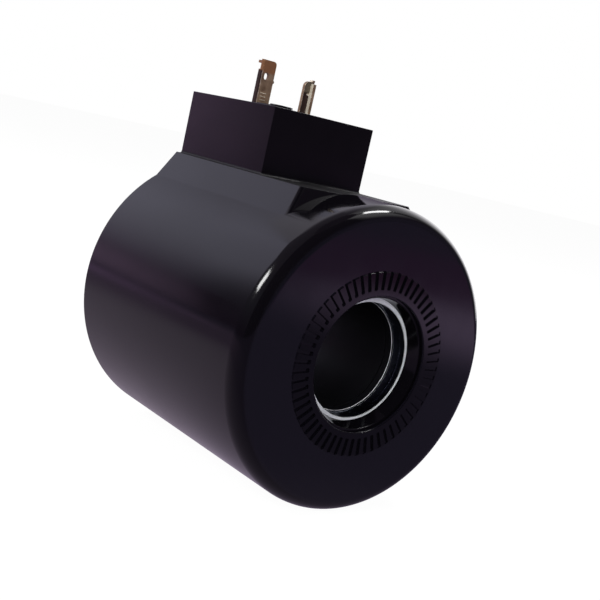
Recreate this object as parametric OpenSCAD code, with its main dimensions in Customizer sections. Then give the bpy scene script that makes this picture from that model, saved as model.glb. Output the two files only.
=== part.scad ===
// Encapsulated solenoid coil for a hydraulic valve, with a two-tab plug connector.
// Millimetres. Y runs along the bore from the nut side to the valve side and Z points up
// to the connector. The origin is on the bore's axis, half way along the moulded body.

/* [Housing] */
// Outside diameter of the moulded body
body_d = 63; // [60:0.5:70]
// Length of the moulded body between its end faces
body_l = 64; // [60:0.5:72]
// Rounding of the rim on the nut side
rim_r = 2.8; // [1:0.1:3.2]
// Rounding of the edge on the valve side
rear_r = 0.8; // [0.4:0.1:1.5]
// Plastic over the flux tube, along a radius
shell_t = 2.5; // [2.2:0.1:4]
// Plastic over each pole plate, along the bore
end_t = 3; // [2.6:0.1:5]

/* [Bore and mouths] */
// Bore diameter in the pole plates
bore_d = 24; // [20:0.5:26]
// Bevel on the edges of each pole plate's bore
plate_bevel = 0.3; // [0.1:0.05:0.5]
// Radius by which the plastic mouth clears the bore at the pole plate
mouth_inner_step = 0.8; // [0.4:0.1:1.2]
// Radius by which the plastic mouth clears the bore at the outside
mouth_outer_step = 2; // [1.8:0.1:2.6]
// Straight depth of each mouth before it narrows
mouth_straight = 0.9; // [0.5:0.1:1.4]
// Ledge between the straight and the narrowing part of each mouth
mouth_ledge = 0.35; // [0.2:0.05:0.6]

/* [Serrated land] */
// Outside diameter of the raised land that the nut bears on
land_d = 37.8; // [36:0.1:44]
// Height of the land above the end face
land_h = 0.3; // [0.15:0.05:0.8]
// Number of radial slots in the land
slot_count = 60; // [36:2:72]
// Width of each slot
slot_w = 0.85; // [0.5:0.05:0.9]
// Depth of each slot below the land
slot_depth = 0.5; // [0.2:0.05:1]
// Plain lip left between the slots and the mouth
lip_w = 1.3; // [0.8:0.05:1.5]

/* [Saddle and connector block] */
// Width of the connector block
block_w = 27.3; // [24:0.1:30]
// Length of the connector block along the bore
block_l = 33; // [31:0.5:36]
// Height of the connector block above the saddle
block_h = 14.3; // [12:0.1:18]
// Distance of the block and saddle from the valve-side face
block_setback = 0.5; // [0.3:0.1:1.5]
// Rounding of the block's edges
block_r = 0.2; // [0.2:0.1:1]
// Bevel round the foot of the block
foot_bevel = 0.3; // [0.2:0.1:0.8]
// Height of the body's crown above the saddle's top
saddle_drop = 0.3; // [0.1:0.1:0.8]
// Ledge of the saddle beside the block
saddle_ledge = 1.2; // [1:0.1:2]
// Length of the saddle's top in front of the block
saddle_nose = 15.9; // [8:0.1:18]
// Sideways reach of the saddle's sloping flank
saddle_flank = 3.9; // [2:0.1:5]
// Forward reach of the saddle's sloping front
saddle_front_run = 2.3; // [0.5:0.1:4]
// Depth of the flat across each front corner of the saddle
saddle_corner = 0.45; // [0.2:0.05:1]
// Diameter of the screw boss on the block
boss_d = 5.4; // [5:0.1:7]
// Height of the screw boss
boss_h = 1; // [0.6:0.1:2]
// Width of the low rib from the screw boss to the rear tab
rib_w = 3.8; // [3:0.1:5]
// Height of that rib
rib_h = 0.8; // [0.4:0.1:1]

/* [Terminals] */
// Distance between the two tabs
tab_pitch = 16.5; // [16:0.1:19]
// Distance of the tabs' middle and the screw boss behind the block's middle
tab_shift = 0.5; // [0:0.1:1]
// Sheet thickness of both tabs
tab_t = 0.8; // [0.6:0.1:1]
// Width of the rear tab
rear_tab_w = 3.8; // [3.4:0.1:4.2]
// Height of the rear tab above the block
rear_tab_h = 10.6; // [9:0.1:13]
// Depth of the rear tab's folded flange
rear_flange = 1.4; // [1.2:0.1:2]
// Width of the rear tab's oblong hole
rear_hole_d = 1.3; // [1:0.1:1.5]
// Width of the front tab
front_tab_w = 2.4; // [2.2:0.1:3.4]
// Height of the front tab above the block
front_tab_h = 7.2; // [6.5:0.1:11]
// Depth of the front tab's folded flange
front_flange = 1.65; // [1.2:0.05:2.4]
// Diameter of the front tab's hole
front_hole_d = 0.6; // [0.5:0.1:0.7]
// Thread core diameter of the plug screw's insert
screw_core_d = 2.5; // [2.4:0.05:3.3]
// Outside diameter of the insert
insert_d = 4.2; // [3.8:0.1:4.5]
// Length of the insert
insert_l = 7; // [5:0.5:8]

/* [Magnetic circuit] */
// Wall of the steel flux tube
tube_t = 2.5; // [1.5:0.1:3]
// Thickness of each steel pole plate
plate_t = 4; // [3:0.1:5]
// Width of the slit where the rolled tube meets itself
seam_w = 0.5; // [0.2:0.1:1]
// Half width of the window that lets the leads out of the tube
window_half = 5.6; // [5.4:0.1:7]

/* [Bobbin and winding] */
// Radius by which the bobbin's bore is smaller than the pole plates' bore
bobbin_step = 0.2; // [0.1:0.05:0.4]
// Wall of the bobbin's tube
bobbin_t = 1.5; // [1:0.1:2]
// Thickness of each bobbin flange
flange_t = 2; // [2:0.1:3]
// Thickness of the tape round the winding
tape_t = 0.4; // [0.2:0.05:0.6]
// Thickness of the strip between the winding and the start lead
barrier_t = 0.25; // [0.2:0.05:0.4]
// Diameter of the two leads
lead_d = 1; // [0.8:0.05:1.1]
// Wall of the sleeves and splices on the leads
sleeve_t = 0.3; // [0.2:0.05:0.35]
// Sideways place of each lead
lead_x = 4; // [3.9:0.1:4.3]
// Thickness of the terminal carrier
carrier_t = 3; // [2.5:0.1:4]

/* [Clearances] */
// Gap between the moulding and the pieces inside it
mould_gap = 0.05; // [0.03:0.01:0.1]
// Gap between the pieces of the magnetic circuit and the winding
fit_gap = 0.1; // [0.05:0.01:0.12]
// Room between the bobbin's flanges and the flux tube
coil_gap = 0.3; // [0.2:0.05:0.5]

/* [Hidden] */
$fn = 96;
// Overshoot of cutting shapes
cut = 1;

// Housing
body_r = body_d / 2;
front_y = -body_l / 2;
rear_y = body_l / 2;
land_y = front_y - land_h;
land_r = land_d / 2;
bore_r = bore_d / 2;
mouth_outer_r = bore_r + mouth_outer_step;
mouth_inner_r = bore_r + mouth_inner_step;
lip_r = mouth_outer_r + lip_w;
slot_over = 0.15;

// Magnetic circuit
tube_ro = body_r - shell_t;
tube_ri = tube_ro - tube_t;
stack_y = body_l / 2 - end_t;
core_y = stack_y - plate_t;
plate_r = tube_ri - fit_gap;
window_front_room = 3;
window_rear_room = 0.3;

// Bobbin and winding
bobbin_ri = bore_r - bobbin_step;
bobbin_ro = bobbin_ri + bobbin_t;
flange_r = tube_ri - coil_gap;
witness_depth = 1.8;
witness_w = 0.3;
winding_y = core_y - flange_t - fit_gap - barrier_t;
winding_ri = bobbin_ro + fit_gap;
flange_over_tape = 0.4;
tape_ro = flange_r - flange_over_tape;
winding_ro = tape_ro - tape_t - mould_gap;

// Connector block
block_rear = rear_y - block_setback;
block_y = block_rear - block_l / 2;
block_front = block_rear - block_l;
saddle_z = body_r - saddle_drop;
saddle_half = block_w / 2 + saddle_ledge;
saddle_toe = saddle_half + saddle_flank;
saddle_front = block_front - saddle_nose;
block_z = saddle_z + block_h;
boss_z = block_z + boss_h;
screw_tip_room = 2.5;
screw_room_d = 3.4;

// Tabs
boss_y = block_y + tab_shift;
rear_tab_y = boss_y + tab_pitch / 2;
front_tab_y = boss_y - tab_pitch / 2;
rear_hook_over = 0.6;
rear_hook_rise = -0.3;
front_hook_over = 0.1;
front_hook_rise = 0.4;
rear_hook_h = 0.6;
rear_notch_h = 1.4;
front_hook_h = 0.4;
front_notch_h = 0.4;
rear_hole_in = 1.6;
rear_hole_drop = 3.7;
rear_hole_slot = 0.35;
front_hole_slot = 0;
front_hole_in = 1.15;
front_hole_drop = 2.8;
fold_r = 0.5;
rear_corner = 0.8;
front_corner = 1.2;
rib_gap = 0.6;
tail_h = 1.8;

// Terminal carrier
carrier_lift = 0.3;
carrier_z0 = tube_ro + carrier_lift;
carrier_z1 = carrier_z0 + carrier_t;
carrier_half = 8;
carrier_half_l = 13.6;
lug_half = 2.4;
lug_half_l = 6;
lug_h = 2;
tab_z0 = carrier_z1 - tail_h;

// Leads
lead_r = lead_d / 2;
sleeve_ri = lead_r + mould_gap;
sleeve_ro = sleeve_ri + sleeve_t;
sleeve_room = sleeve_ro + mould_gap;
lead_y = core_y - flange_t / 2;
lead_from_y = winding_y + mould_gap;
start_inset = 0.6;
finish_inset = 0.4;
joint_lift = 1.7;
elbow_over = 0.08;
slot_floor = 0.4;
start_z = winding_ri + lead_r + start_inset;
finish_z = winding_ro - lead_r - finish_inset;
joint_z = carrier_z1 + joint_lift;
splice_l = 1.6;
splice_lift = 0.7;
solder_r = 1;
solder_half = 0.9;
joint_off = tab_t / 2 + lead_r + mould_gap;
lead_overlap = 0.6;
start_path = [
    [-lead_x, lead_from_y, start_z],
    [-lead_x, lead_y, start_z],
    [-lead_x, lead_y, joint_z],
    [-lead_x, rear_tab_y - joint_off, joint_z],
    [lead_overlap, rear_tab_y - joint_off, joint_z]
];
finish_path = [
    [lead_x, lead_from_y, finish_z],
    [lead_x, lead_y, finish_z],
    [lead_x, lead_y, joint_z],
    [lead_x, front_tab_y + joint_off, joint_z],
    [-lead_overlap, front_tab_y + joint_off, joint_z]
];

// Turns a shape that stands along Z so that it runs along +Y
module along_y() {
    rotate([-90, 0, 0])
        children();
}

// A round disc about the bore's axis between two places along it
module disc_y(r, y0, y1) {
    translate([0, y0, 0])
        along_y()
            cylinder(r = r, h = y1 - y0);
}

// A plain ring about the bore's axis between two places along it
module ring_y(ro, ri, y0, y1) {
    difference() {
        disc_y(ro, y0, y1);
        disc_y(ri, y0 - cut, y1 + cut);
    }
}

// A shape whose outline over XZ and outline over YZ are both given, within a reach of its middle
module two_way(reach) {
    intersection() {
        rotate([90, 0, 0])
            linear_extrude(2 * reach, center = true)
                children(0);
        rotate([90, 0, 90])
            linear_extrude(2 * reach, center = true)
                children(1);
    }
}

// A box given by its low and high corners
module box(lo, hi) {
    translate(lo)
        cube(hi - lo);
}

// A round bar between two points
module bar(p, q, r) {
    d = q - p;
    l = norm(d);
    translate(p)
        rotate([0, acos(d[2] / l), atan2(d[1], d[0])])
            cylinder(r = r, h = l, $fn = 32);
}

// A bent wire along a list of points
module wire(path, r) {
    for (i = [0 : len(path) - 2])
        bar(path[i], path[i + 1], r);
    for (i = [1 : len(path) - 2])
        translate(path[i])
            sphere(r = r + elbow_over, $fn = 32);
}

// A rectangle with round corners, centred
module round_rect(w, h, r) {
    union() {
        square([w, h - 2 * r], center = true);
        square([w - 2 * r, h], center = true);
        for (x = [-1, 1], y = [-1, 1])
            translate([x * (w / 2 - r), y * (h / 2 - r)])
                circle(r = r, $fn = 32);
    }
}

// The cylinder of the moulding, with its round rim
module body_shape() {
    translate([0, front_y, 0])
        along_y()
            rotate_extrude()
                union() {
                    square([body_r - rim_r, body_l]);
                    translate([0, rim_r])
                        square([body_r, body_l - rim_r - rear_r]);
                    translate([0, rim_r])
                        square([body_r - rear_r, body_l - rim_r]);
                    translate([body_r - rim_r, rim_r])
                        circle(r = rim_r);
                    translate([body_r - rear_r, body_l - rear_r])
                        circle(r = rear_r);
                }
}

// The saddle under the connector block, sloping at its sides and its front
module saddle_shape() {
    toe_z = sqrt(body_r * body_r - saddle_toe * saddle_toe);
    fall = saddle_z - toe_z;
    deep = 1.3;
    low_z = saddle_z - deep * fall;
    difference() {
        two_way(body_l) {
            polygon([
                [-saddle_half, saddle_z],
                [-saddle_half - deep * saddle_flank, low_z],
                [saddle_half + deep * saddle_flank, low_z],
                [saddle_half, saddle_z]
            ]);
            polygon([
                [saddle_front, saddle_z],
                [saddle_front - deep * saddle_front_run, low_z],
                [block_rear, low_z],
                [block_rear, saddle_z]
            ]);
        }
        corner_cut(fall);
        mirror([1, 0, 0])
            corner_cut(fall);
    }
}

// What the flat across the saddle's front corner at -X takes away
module corner_cut(fall) {
    flank_way = [-fall, 0, saddle_flank] / norm([fall, saddle_flank]);
    front_way = [0, -fall, saddle_front_run] / norm([fall, saddle_front_run]);
    way = flank_way + front_way;
    translate([-saddle_half, saddle_front, saddle_z])
        rotate([0, acos(way[2] / norm(way)), atan2(way[1], way[0])])
            box([-block_l, -block_l, -saddle_corner], [block_l, block_l, block_l]);
}

// The connector block with rounded edges and a bevelled foot
module block_shape() {
    z0 = tube_ro;
    h = block_z - z0;
    translate([0, block_y, z0 + h / 2])
        intersection() {
            linear_extrude(h, center = true)
                round_rect(block_w, block_l, block_r);
            rotate([90, 0, 0])
                linear_extrude(block_l, center = true)
                    round_rect(block_w, h, block_r);
            rotate([90, 0, 90])
                linear_extrude(block_w, center = true)
                    round_rect(block_l, h, block_r);
        }
    two_way(body_l) {
        polygon([
            [-block_w / 2 - 2 * foot_bevel, saddle_z - foot_bevel],
            [block_w / 2 + 2 * foot_bevel, saddle_z - foot_bevel],
            [block_w / 2 - foot_bevel, saddle_z + 2 * foot_bevel],
            [-block_w / 2 + foot_bevel, saddle_z + 2 * foot_bevel]
        ]);
        polygon([
            [block_front - 2 * foot_bevel, saddle_z - foot_bevel],
            [block_rear, saddle_z - foot_bevel],
            [block_rear, saddle_z + 2 * foot_bevel],
            [block_front + foot_bevel, saddle_z + 2 * foot_bevel]
        ]);
    }
}

// The opening of one mouth, drawn at the front and mirrored for the rear
module mouth_cut(face_y) {
    disc_y(mouth_outer_r, face_y - cut, face_y + mouth_straight);
    translate([0, face_y + mouth_straight - mouth_ledge, 0])
        along_y()
            cylinder(
                r1 = mouth_outer_r - mouth_ledge,
                r2 = mouth_inner_r,
                h = -stack_y - face_y - mouth_straight + mouth_ledge
            );
    disc_y(mouth_inner_r, -stack_y - cut / 2, -stack_y + cut / 2);
}

// A folded sheet seen from above: a web across X and a flange towards +Y at its -X edge
module fold_outline(w, flange) {
    x0 = -w / 2;
    y0 = -tab_t / 2;
    union() {
        translate([x0 + fold_r, y0])
            square([w - fold_r, tab_t]);
        translate([x0, y0 + fold_r])
            square([tab_t, flange - fold_r]);
        translate([x0 + fold_r, y0 + fold_r])
            circle(r = fold_r, $fn = 32);
    }
}

// Hole with round ends, drawn out upright by its straight part
module oblong(d, straight) {
    for (side = straight > 0 ? [-1, 1] : [0])
        translate([0, side * straight / 2])
            circle(r = d / 2, $fn = 32);
    if (straight > 0)
        square([d, straight], center = true);
}

// A tab seen from the front: its web with a round corner and a hole, and its fold up to a peak
module web_outline(w, z0, z1, peak, corner, hole_in, hole_z, hole_d, hole_slot) {
    difference() {
        union() {
            translate([-w / 2, z0])
                square([w, z1 - corner - z0]);
            translate([-w / 2, z0])
                square([w - corner, z1 - z0]);
            translate([w / 2 - corner, z1 - corner])
                circle(r = corner, $fn = 32);
            translate([-w / 2, z0])
                square([tab_t, peak - z0]);
        }
        translate([hole_in - w / 2, hole_z])
            oblong(hole_d, hole_slot);
    }
}

// One tab, folded from sheet, with a hook at the flange's top and a notch under the hook
module tab(
    w, h, corner, flange, reach, rise, hook_h, notch_h, hole_in, hole_drop, hole_d, hole_slot
) {
    top = block_z + h;
    crest = top + rise;
    peak = max(top, crest);
    deep = max(flange, reach);
    x0 = -w / 2;
    y0 = -tab_t / 2;
    hook_z = crest - hook_h;
    difference() {
        intersection() {
            translate([0, 0, tab_z0])
                linear_extrude(peak - tab_z0)
                    fold_outline(w, deep);
            rotate([90, 0, 0])
                linear_extrude(3 * deep, center = true)
                    web_outline(
                        w, tab_z0, top, peak, corner, hole_in, top - hole_drop, hole_d, hole_slot
                    );
        }
        box([x0 - cut, -y0, tab_z0 - cut], [x0 + tab_t + cut, deep + cut, carrier_z1 + mould_gap]);
        box([x0 - cut, y0 + flange, tab_z0], [x0 + tab_t + cut, deep + cut, hook_z]);
        box([x0 - cut, -y0, hook_z - notch_h], [x0 + tab_t + cut, deep + cut, hook_z]);
        box([x0 - cut, y0 + reach, hook_z], [x0 + tab_t + cut, deep + cut, peak + cut]);
        box([x0 - cut, -y0, crest], [x0 + tab_t + cut, deep + cut, peak + cut]);
    }
}

// Slot in the moulding for one tab, grown all round
module tab_slot(w, flange) {
    g = mould_gap;
    x0 = -w / 2;
    y0 = -tab_t / 2;
    box([x0 - g, y0 - g, tab_z0 - g], [w / 2 + g, -y0 + g, block_z + cut]);
    box([x0 - g, y0 - g, carrier_z1], [x0 + tab_t + g, y0 + flange + g, block_z + cut]);
}

// Grip ribs on the rear tab's web, from just under the block's top upwards
module grip_ribs(grow) {
    rib_in = 0.9;
    rib_l = 1.5;
    rib_h = 0.3;
    rib_out = 0.2;
    rib_step = 0.75;
    rib_count = 5;
    first_z = block_z - rib_h / 2;
    x0 = rib_in - rear_tab_w / 2;
    y0 = -tab_t / 2 - rib_out;
    for (i = [0 : rib_count - 1])
        box(
            [x0 - grow, y0 - grow, first_z + i * rib_step - grow],
            [x0 + rib_l + grow, 0, first_z + i * rib_step + rib_h + grow]
        );
}

// The rear tab in its place, with its stop bump and grip ribs
module rear_tab() {
    bump_drop = 4.6;
    bump_r = 0.4;
    translate([0, rear_tab_y, 0]) {
        tab(
            rear_tab_w, rear_tab_h, rear_corner, rear_flange, rear_flange + rear_hook_over,
            rear_hook_rise, rear_hook_h, rear_notch_h, rear_hole_in, rear_hole_drop, rear_hole_d,
            rear_hole_slot
        );
        translate([rear_tab_w / 2, tab_t / 4, block_z + rear_tab_h - bump_drop])
            rotate([90, 0, 0])
                cylinder(r = bump_r, h = tab_t / 2, $fn = 32);
        grip_ribs(0);
    }
}

// The front tab in its place, turned half round
module front_tab() {
    translate([0, front_tab_y, 0])
        rotate([0, 0, 180])
            tab(
                front_tab_w, front_tab_h, front_corner, front_flange, tab_t + front_hook_over,
                front_hook_rise, front_hook_h, front_notch_h, front_hole_in, front_hole_drop,
                front_hole_d, front_hole_slot
            );
}

// Room for the pieces that stand in the block
module block_cavity() {
    g = mould_gap;
    box(
        [-carrier_half - g, block_y - carrier_half_l - g, tube_ro - cut],
        [carrier_half + g, block_y + carrier_half_l + g, carrier_z1 + g]
    );
    translate([0, rear_tab_y, 0]) {
        tab_slot(rear_tab_w, rear_flange);
        grip_ribs(g);
    }
    translate([0, front_tab_y, 0])
        rotate([0, 0, 180])
            tab_slot(front_tab_w, front_flange);
    wire(start_path, lead_r + g);
    wire(finish_path, lead_r + g);
    for (x = [-lead_x, lead_x])
        bar([x, lead_y, carrier_z1 - cut], [x, lead_y, joint_z - lead_r], sleeve_room);
    solder_blob(rear_tab_y - joint_off, g);
    solder_blob(front_tab_y + joint_off, g);
    insert_shape(g);
    translate([0, boss_y, boss_z - insert_l - screw_tip_room])
        cylinder(r = screw_room_d / 2, h = insert_l);
}

// The insert's outside: two collars with a waist between them that the moulding grips
module insert_shape(grow) {
    collar_l = insert_l / 3;
    waist = 0.4;
    r = insert_d / 2 + grow;
    translate([0, boss_y, boss_z - insert_l]) {
        translate([0, 0, -grow])
            cylinder(r = r, h = collar_l + 2 * grow);
        cylinder(r = r - waist, h = insert_l);
        translate([0, 0, insert_l - collar_l - grow])
            cylinder(r = r, h = collar_l + 2 * grow);
    }
}

// A bead of solder along X at one lead's end
module solder_blob(y, grow) {
    translate([-solder_half - grow, y, joint_z])
        rotate([0, 90, 0])
            cylinder(r = solder_r + grow, h = 2 * (solder_half + grow), $fn = 32);
}

// Moulded housing
module housing() {
    color([0.06, 0.055, 0.07])
        difference() {
            union() {
                body_shape();
                saddle_shape();
                block_shape();
                translate([0, boss_y, block_z - cut])
                    cylinder(r = boss_d / 2, h = boss_h + cut);
                box(
                    [-rib_w / 2, boss_y, block_z - cut],
                    [rib_w / 2, rear_tab_y - tab_t / 2 - rib_gap, block_z + rib_h]
                );
                disc_y(land_r, land_y, front_y + cut);
            }
            mouth_cut(land_y);
            mirror([0, 1, 0])
                mouth_cut(front_y);
            disc_y(tube_ro + mould_gap, -stack_y - mould_gap, stack_y + mould_gap);
            for (i = [0 : slot_count - 1])
                rotate([0, i * 360 / slot_count, 0])
                    translate([lip_r, land_y - cut, -slot_w / 2])
                        cube([land_r - lip_r + slot_over, cut + slot_depth, slot_w]);
            block_cavity();
        }
}

// One pole plate from y0 inwards, with bevelled bore edges
module pole_plate(y0) {
    difference() {
        ring_y(plate_r, bore_r, y0, y0 + plate_t);
        translate([0, y0 - plate_bevel, 0])
            along_y()
                cylinder(r1 = bore_r + 2 * plate_bevel, r2 = bore_r, h = 2 * plate_bevel);
        translate([0, y0 + plate_t - plate_bevel, 0])
            along_y()
                cylinder(r1 = bore_r, r2 = bore_r + 2 * plate_bevel, h = 2 * plate_bevel);
    }
}

// Steel plate on the nut side
module front_pole_plate() {
    color([0.78, 0.79, 0.8])
        pole_plate(-stack_y);
}

// Steel plate on the valve side
module rear_pole_plate() {
    color([0.78, 0.79, 0.8])
        pole_plate(core_y);
}

// Rolled steel tube round the winding, with its seam and lead window
module flux_tube() {
    color([0.62, 0.63, 0.65])
        difference() {
            ring_y(tube_ro, tube_ri, -stack_y, stack_y);
            box(
                [-seam_w / 2, -stack_y - cut, -tube_ro - cut],
                [seam_w / 2, stack_y + cut, -tube_ri + cut]
            );
            box(
                [-window_half, block_y - lug_half_l - window_front_room, tube_ri / 2],
                [window_half, lead_y + sleeve_room + window_rear_room, tube_ro + cut]
            );
        }
}

// Moulded bobbin with a slot in its rear flange for each lead
module bobbin() {
    slot_half = sleeve_room + fit_gap;
    color([0.16, 0.17, 0.19])
        difference() {
            union() {
                ring_y(bobbin_ro, bobbin_ri, -core_y, core_y);
                ring_y(flange_r, bobbin_ro - cut / 2, -core_y, -core_y + flange_t);
                ring_y(flange_r, bobbin_ro - cut / 2, core_y - flange_t, core_y);
            }
            ring_y(
                bobbin_ri + witness_w, bobbin_ri - witness_w,
                -core_y + witness_depth, -core_y + witness_depth + witness_w
            );
            box(
                [-lead_x - slot_half, core_y - flange_t - cut / 2, start_z - lead_r - slot_floor],
                [-lead_x + slot_half, core_y + cut, flange_r + cut]
            );
            box(
                [lead_x - slot_half, core_y - flange_t - cut / 2, finish_z - lead_r - slot_floor],
                [lead_x + slot_half, core_y + cut, flange_r + cut]
            );
        }
}

// Enamelled copper winding
module winding() {
    color([0.72, 0.38, 0.18])
        ring_y(winding_ro, winding_ri, -winding_y - barrier_t, winding_y);
}

// Tape wrapped round the winding
module winding_tape() {
    color([0.85, 0.72, 0.25])
        ring_y(tape_ro, winding_ro + mould_gap, -winding_y - barrier_t, winding_y);
}

// Strip that keeps the start lead off the winding's turns
module start_lead_barrier() {
    side = 2.2;
    lead_room = 0.2;
    top_inset = 1;
    color([0.9, 0.87, 0.76])
        box(
            [-lead_x - side, winding_y, start_z + lead_r + lead_room],
            [-lead_x + side, winding_y + barrier_t, winding_ro - top_inset]
        );
}

// Lead from the first turn to the rear tab
module start_lead() {
    color([0.8, 0.45, 0.24])
        wire(start_path, lead_r);
}

// Lead from the last turn to the front tab
module finish_lead() {
    color([0.8, 0.45, 0.24])
        wire(finish_path, lead_r);
}

// A tube over the upright run of one lead
module lead_tube(x, z0, z1) {
    translate([x, lead_y, z0])
        difference() {
            cylinder(r = sleeve_ro, h = z1 - z0, $fn = 32);
            translate([0, 0, -cut])
                cylinder(r = sleeve_ri, h = z1 - z0 + 2 * cut, $fn = 32);
        }
}

// Crimped ferrules that join the winding's wire to the leads
module lead_splices() {
    color([0.75, 0.75, 0.74])
        for (p = [[-lead_x, start_z], [lead_x, finish_z]])
            lead_tube(p[0], p[1] + splice_lift, p[1] + splice_lift + splice_l);
}

// Insulating sleeve on the start lead
module start_lead_sleeve() {
    color([0.86, 0.85, 0.8])
        lead_tube(
            -lead_x, start_z + splice_lift + splice_l + fit_gap, joint_z - lead_r - fit_gap
        );
}

// Insulating sleeve on the finish lead
module finish_lead_sleeve() {
    color([0.86, 0.85, 0.8])
        lead_tube(
            lead_x, finish_z + splice_lift + splice_l + fit_gap, joint_z - lead_r - fit_gap
        );
}

// Solder on both tabs, cut back to each tab's face and round each lead
module solder_joints() {
    rear_face = rear_tab_y - tab_t / 2;
    front_face = front_tab_y + tab_t / 2;
    color([0.82, 0.82, 0.8])
        difference() {
            union() {
                solder_blob(rear_tab_y - joint_off, 0);
                solder_blob(front_tab_y + joint_off, 0);
            }
            box([-block_w, front_face - tab_pitch / 2, 0], [block_w, front_face, block_z]);
            box([-block_w, rear_face, 0], [block_w, rear_face + tab_pitch / 2, block_z]);
            wire(start_path, lead_r + mould_gap / 2);
            wire(finish_path, lead_r + mould_gap / 2);
        }
}

// Moulded carrier that holds the tabs over the flux tube's window
module terminal_carrier() {
    g = mould_gap;
    color([0.2, 0.21, 0.23])
        difference() {
            union() {
                box(
                    [-carrier_half, block_y - carrier_half_l, carrier_z0],
                    [carrier_half, block_y + carrier_half_l, carrier_z1]
                );
                box(
                    [-lug_half, block_y - lug_half_l, carrier_z0 - lug_h],
                    [lug_half, block_y + lug_half_l, carrier_z0 + cut / 2]
                );
            }
            for (x = [-lead_x, lead_x])
                bar([x, lead_y, carrier_z0 - cut], [x, lead_y, carrier_z1 + cut], sleeve_room);
            box(
                [-rear_tab_w / 2 - g, rear_tab_y - tab_t / 2 - g, tab_z0 - g],
                [rear_tab_w / 2 + g, rear_tab_y + tab_t / 2 + g, carrier_z1 + cut]
            );
            box(
                [-front_tab_w / 2 - g, front_tab_y - tab_t / 2 - g, tab_z0 - g],
                [front_tab_w / 2 + g, front_tab_y + tab_t / 2 + g, carrier_z1 + cut]
            );
        }
}

// Wider tab next to the valve side
module rear_terminal() {
    color([0.72, 0.6, 0.42])
        rear_tab();
}

// Narrower tab next to the nut side
module front_terminal() {
    color([0.72, 0.6, 0.42])
        front_tab();
}

// Threaded brass insert for the plug's centre screw
module plug_screw_insert() {
    color([0.78, 0.62, 0.3])
        difference() {
            insert_shape(0);
            translate([0, boss_y, boss_z - insert_l - cut])
                cylinder(r = screw_core_d / 2, h = insert_l + 2 * cut);
        }
}

housing();
front_pole_plate();
rear_pole_plate();
flux_tube();
bobbin();
winding();
winding_tape();
start_lead_barrier();
start_lead();
finish_lead();
lead_splices();
start_lead_sleeve();
finish_lead_sleeve();
solder_joints();
terminal_carrier();
rear_terminal();
front_terminal();
plug_screw_insert();
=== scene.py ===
import logging
import math
from contextlib import contextmanager
from dataclasses import dataclass
from enum import Enum, IntEnum
from typing import Callable, Iterator, Sequence

import bmesh
import bpy
from mathutils import Matrix, Vector


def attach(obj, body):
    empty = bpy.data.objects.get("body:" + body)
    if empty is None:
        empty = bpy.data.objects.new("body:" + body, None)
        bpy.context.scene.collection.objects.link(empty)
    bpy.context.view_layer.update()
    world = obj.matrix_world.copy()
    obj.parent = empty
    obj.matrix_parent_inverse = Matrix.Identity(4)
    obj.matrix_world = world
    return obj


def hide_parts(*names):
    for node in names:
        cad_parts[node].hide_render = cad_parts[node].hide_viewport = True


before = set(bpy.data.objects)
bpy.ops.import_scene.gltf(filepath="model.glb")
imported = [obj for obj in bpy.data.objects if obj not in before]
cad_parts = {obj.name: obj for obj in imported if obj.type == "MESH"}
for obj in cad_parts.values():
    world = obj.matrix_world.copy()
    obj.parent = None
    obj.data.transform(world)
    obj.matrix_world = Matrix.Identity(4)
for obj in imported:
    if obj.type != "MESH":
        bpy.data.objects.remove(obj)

LOG = logging.getLogger("valve_coil")
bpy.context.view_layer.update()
MM = 0.001
# Millimetres: points closer than SAME are one, HAIR keeps two faces apart, NEAR is the slack of a test,
# and OVER is how far a cutting solid stands past what it cuts.
SAME = 1e-4
HAIR = 1e-3
NEAR = 0.01
OVER = 1.0
# Edges that turn by more degrees than this are sharp.
SHARP = 40.0
# Most values of a noise lie in this range.
MOST = (0.3, 0.7)
FULL_TURN = 2.0 * math.pi
BORE_AXIS = (0.0, 1.0, 0.0)
UPRIGHT_AXIS = (0.0, 0.0, 1.0)

Range = tuple[float, float]
Outline = list[Range]
Point = tuple[float, float, float]
Colour = tuple[float, float, float]
Object = bpy.types.Object
Socket = bpy.types.NodeSocket
Edge = bmesh.types.BMEdge


class Slot(Enum):
    """Material slots of the record."""

    MOULDING = "black_moulding"
    PLATE = "plated_steel"
    TUBE = "rolled_steel"
    BOBBIN = "bobbin_plastic"
    WIRE = "enamelled_copper"
    TAPE = "winding_tape"
    STRIP = "insulating_strip"
    LEAD = "bare_copper"
    TIN = "tinned_metal"
    SLEEVE = "glass_sleeving"
    TAB = "terminal_brass"
    INSERT = "insert_brass"


class Join(Enum):
    """Ways in which one solid is worked into another."""

    ADD = "UNION"
    CUT = "DIFFERENCE"
    KEEP = "INTERSECT"


class Wave(Enum):
    """Kinds of wave, each with the node's property that holds its axis."""

    BANDS = "bands_direction"
    RINGS = "rings_direction"


class Coat(IntEnum):
    """Places of a tab's other materials in its list, after its brass."""

    EDGE = 1
    DARK = 2
    WORN = 3


def arc(centre: Range, radius: float, start: float, end: float, steps: int) -> Outline:
    """Gives the points of a round corner of an outline.

    Args:
        centre: The corner's centre.
        radius: The corner's radius.
        start: The first angle in degrees.
        end: The last angle in degrees.
        steps: The number of segments.

    Returns:
        The points from the first angle to the last.
    """
    turns = [math.radians(start + (end - start) * i / steps) for i in range(steps + 1)]
    return [(centre[0] + radius * math.cos(t), centre[1] + radius * math.sin(t)) for t in turns]


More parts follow.
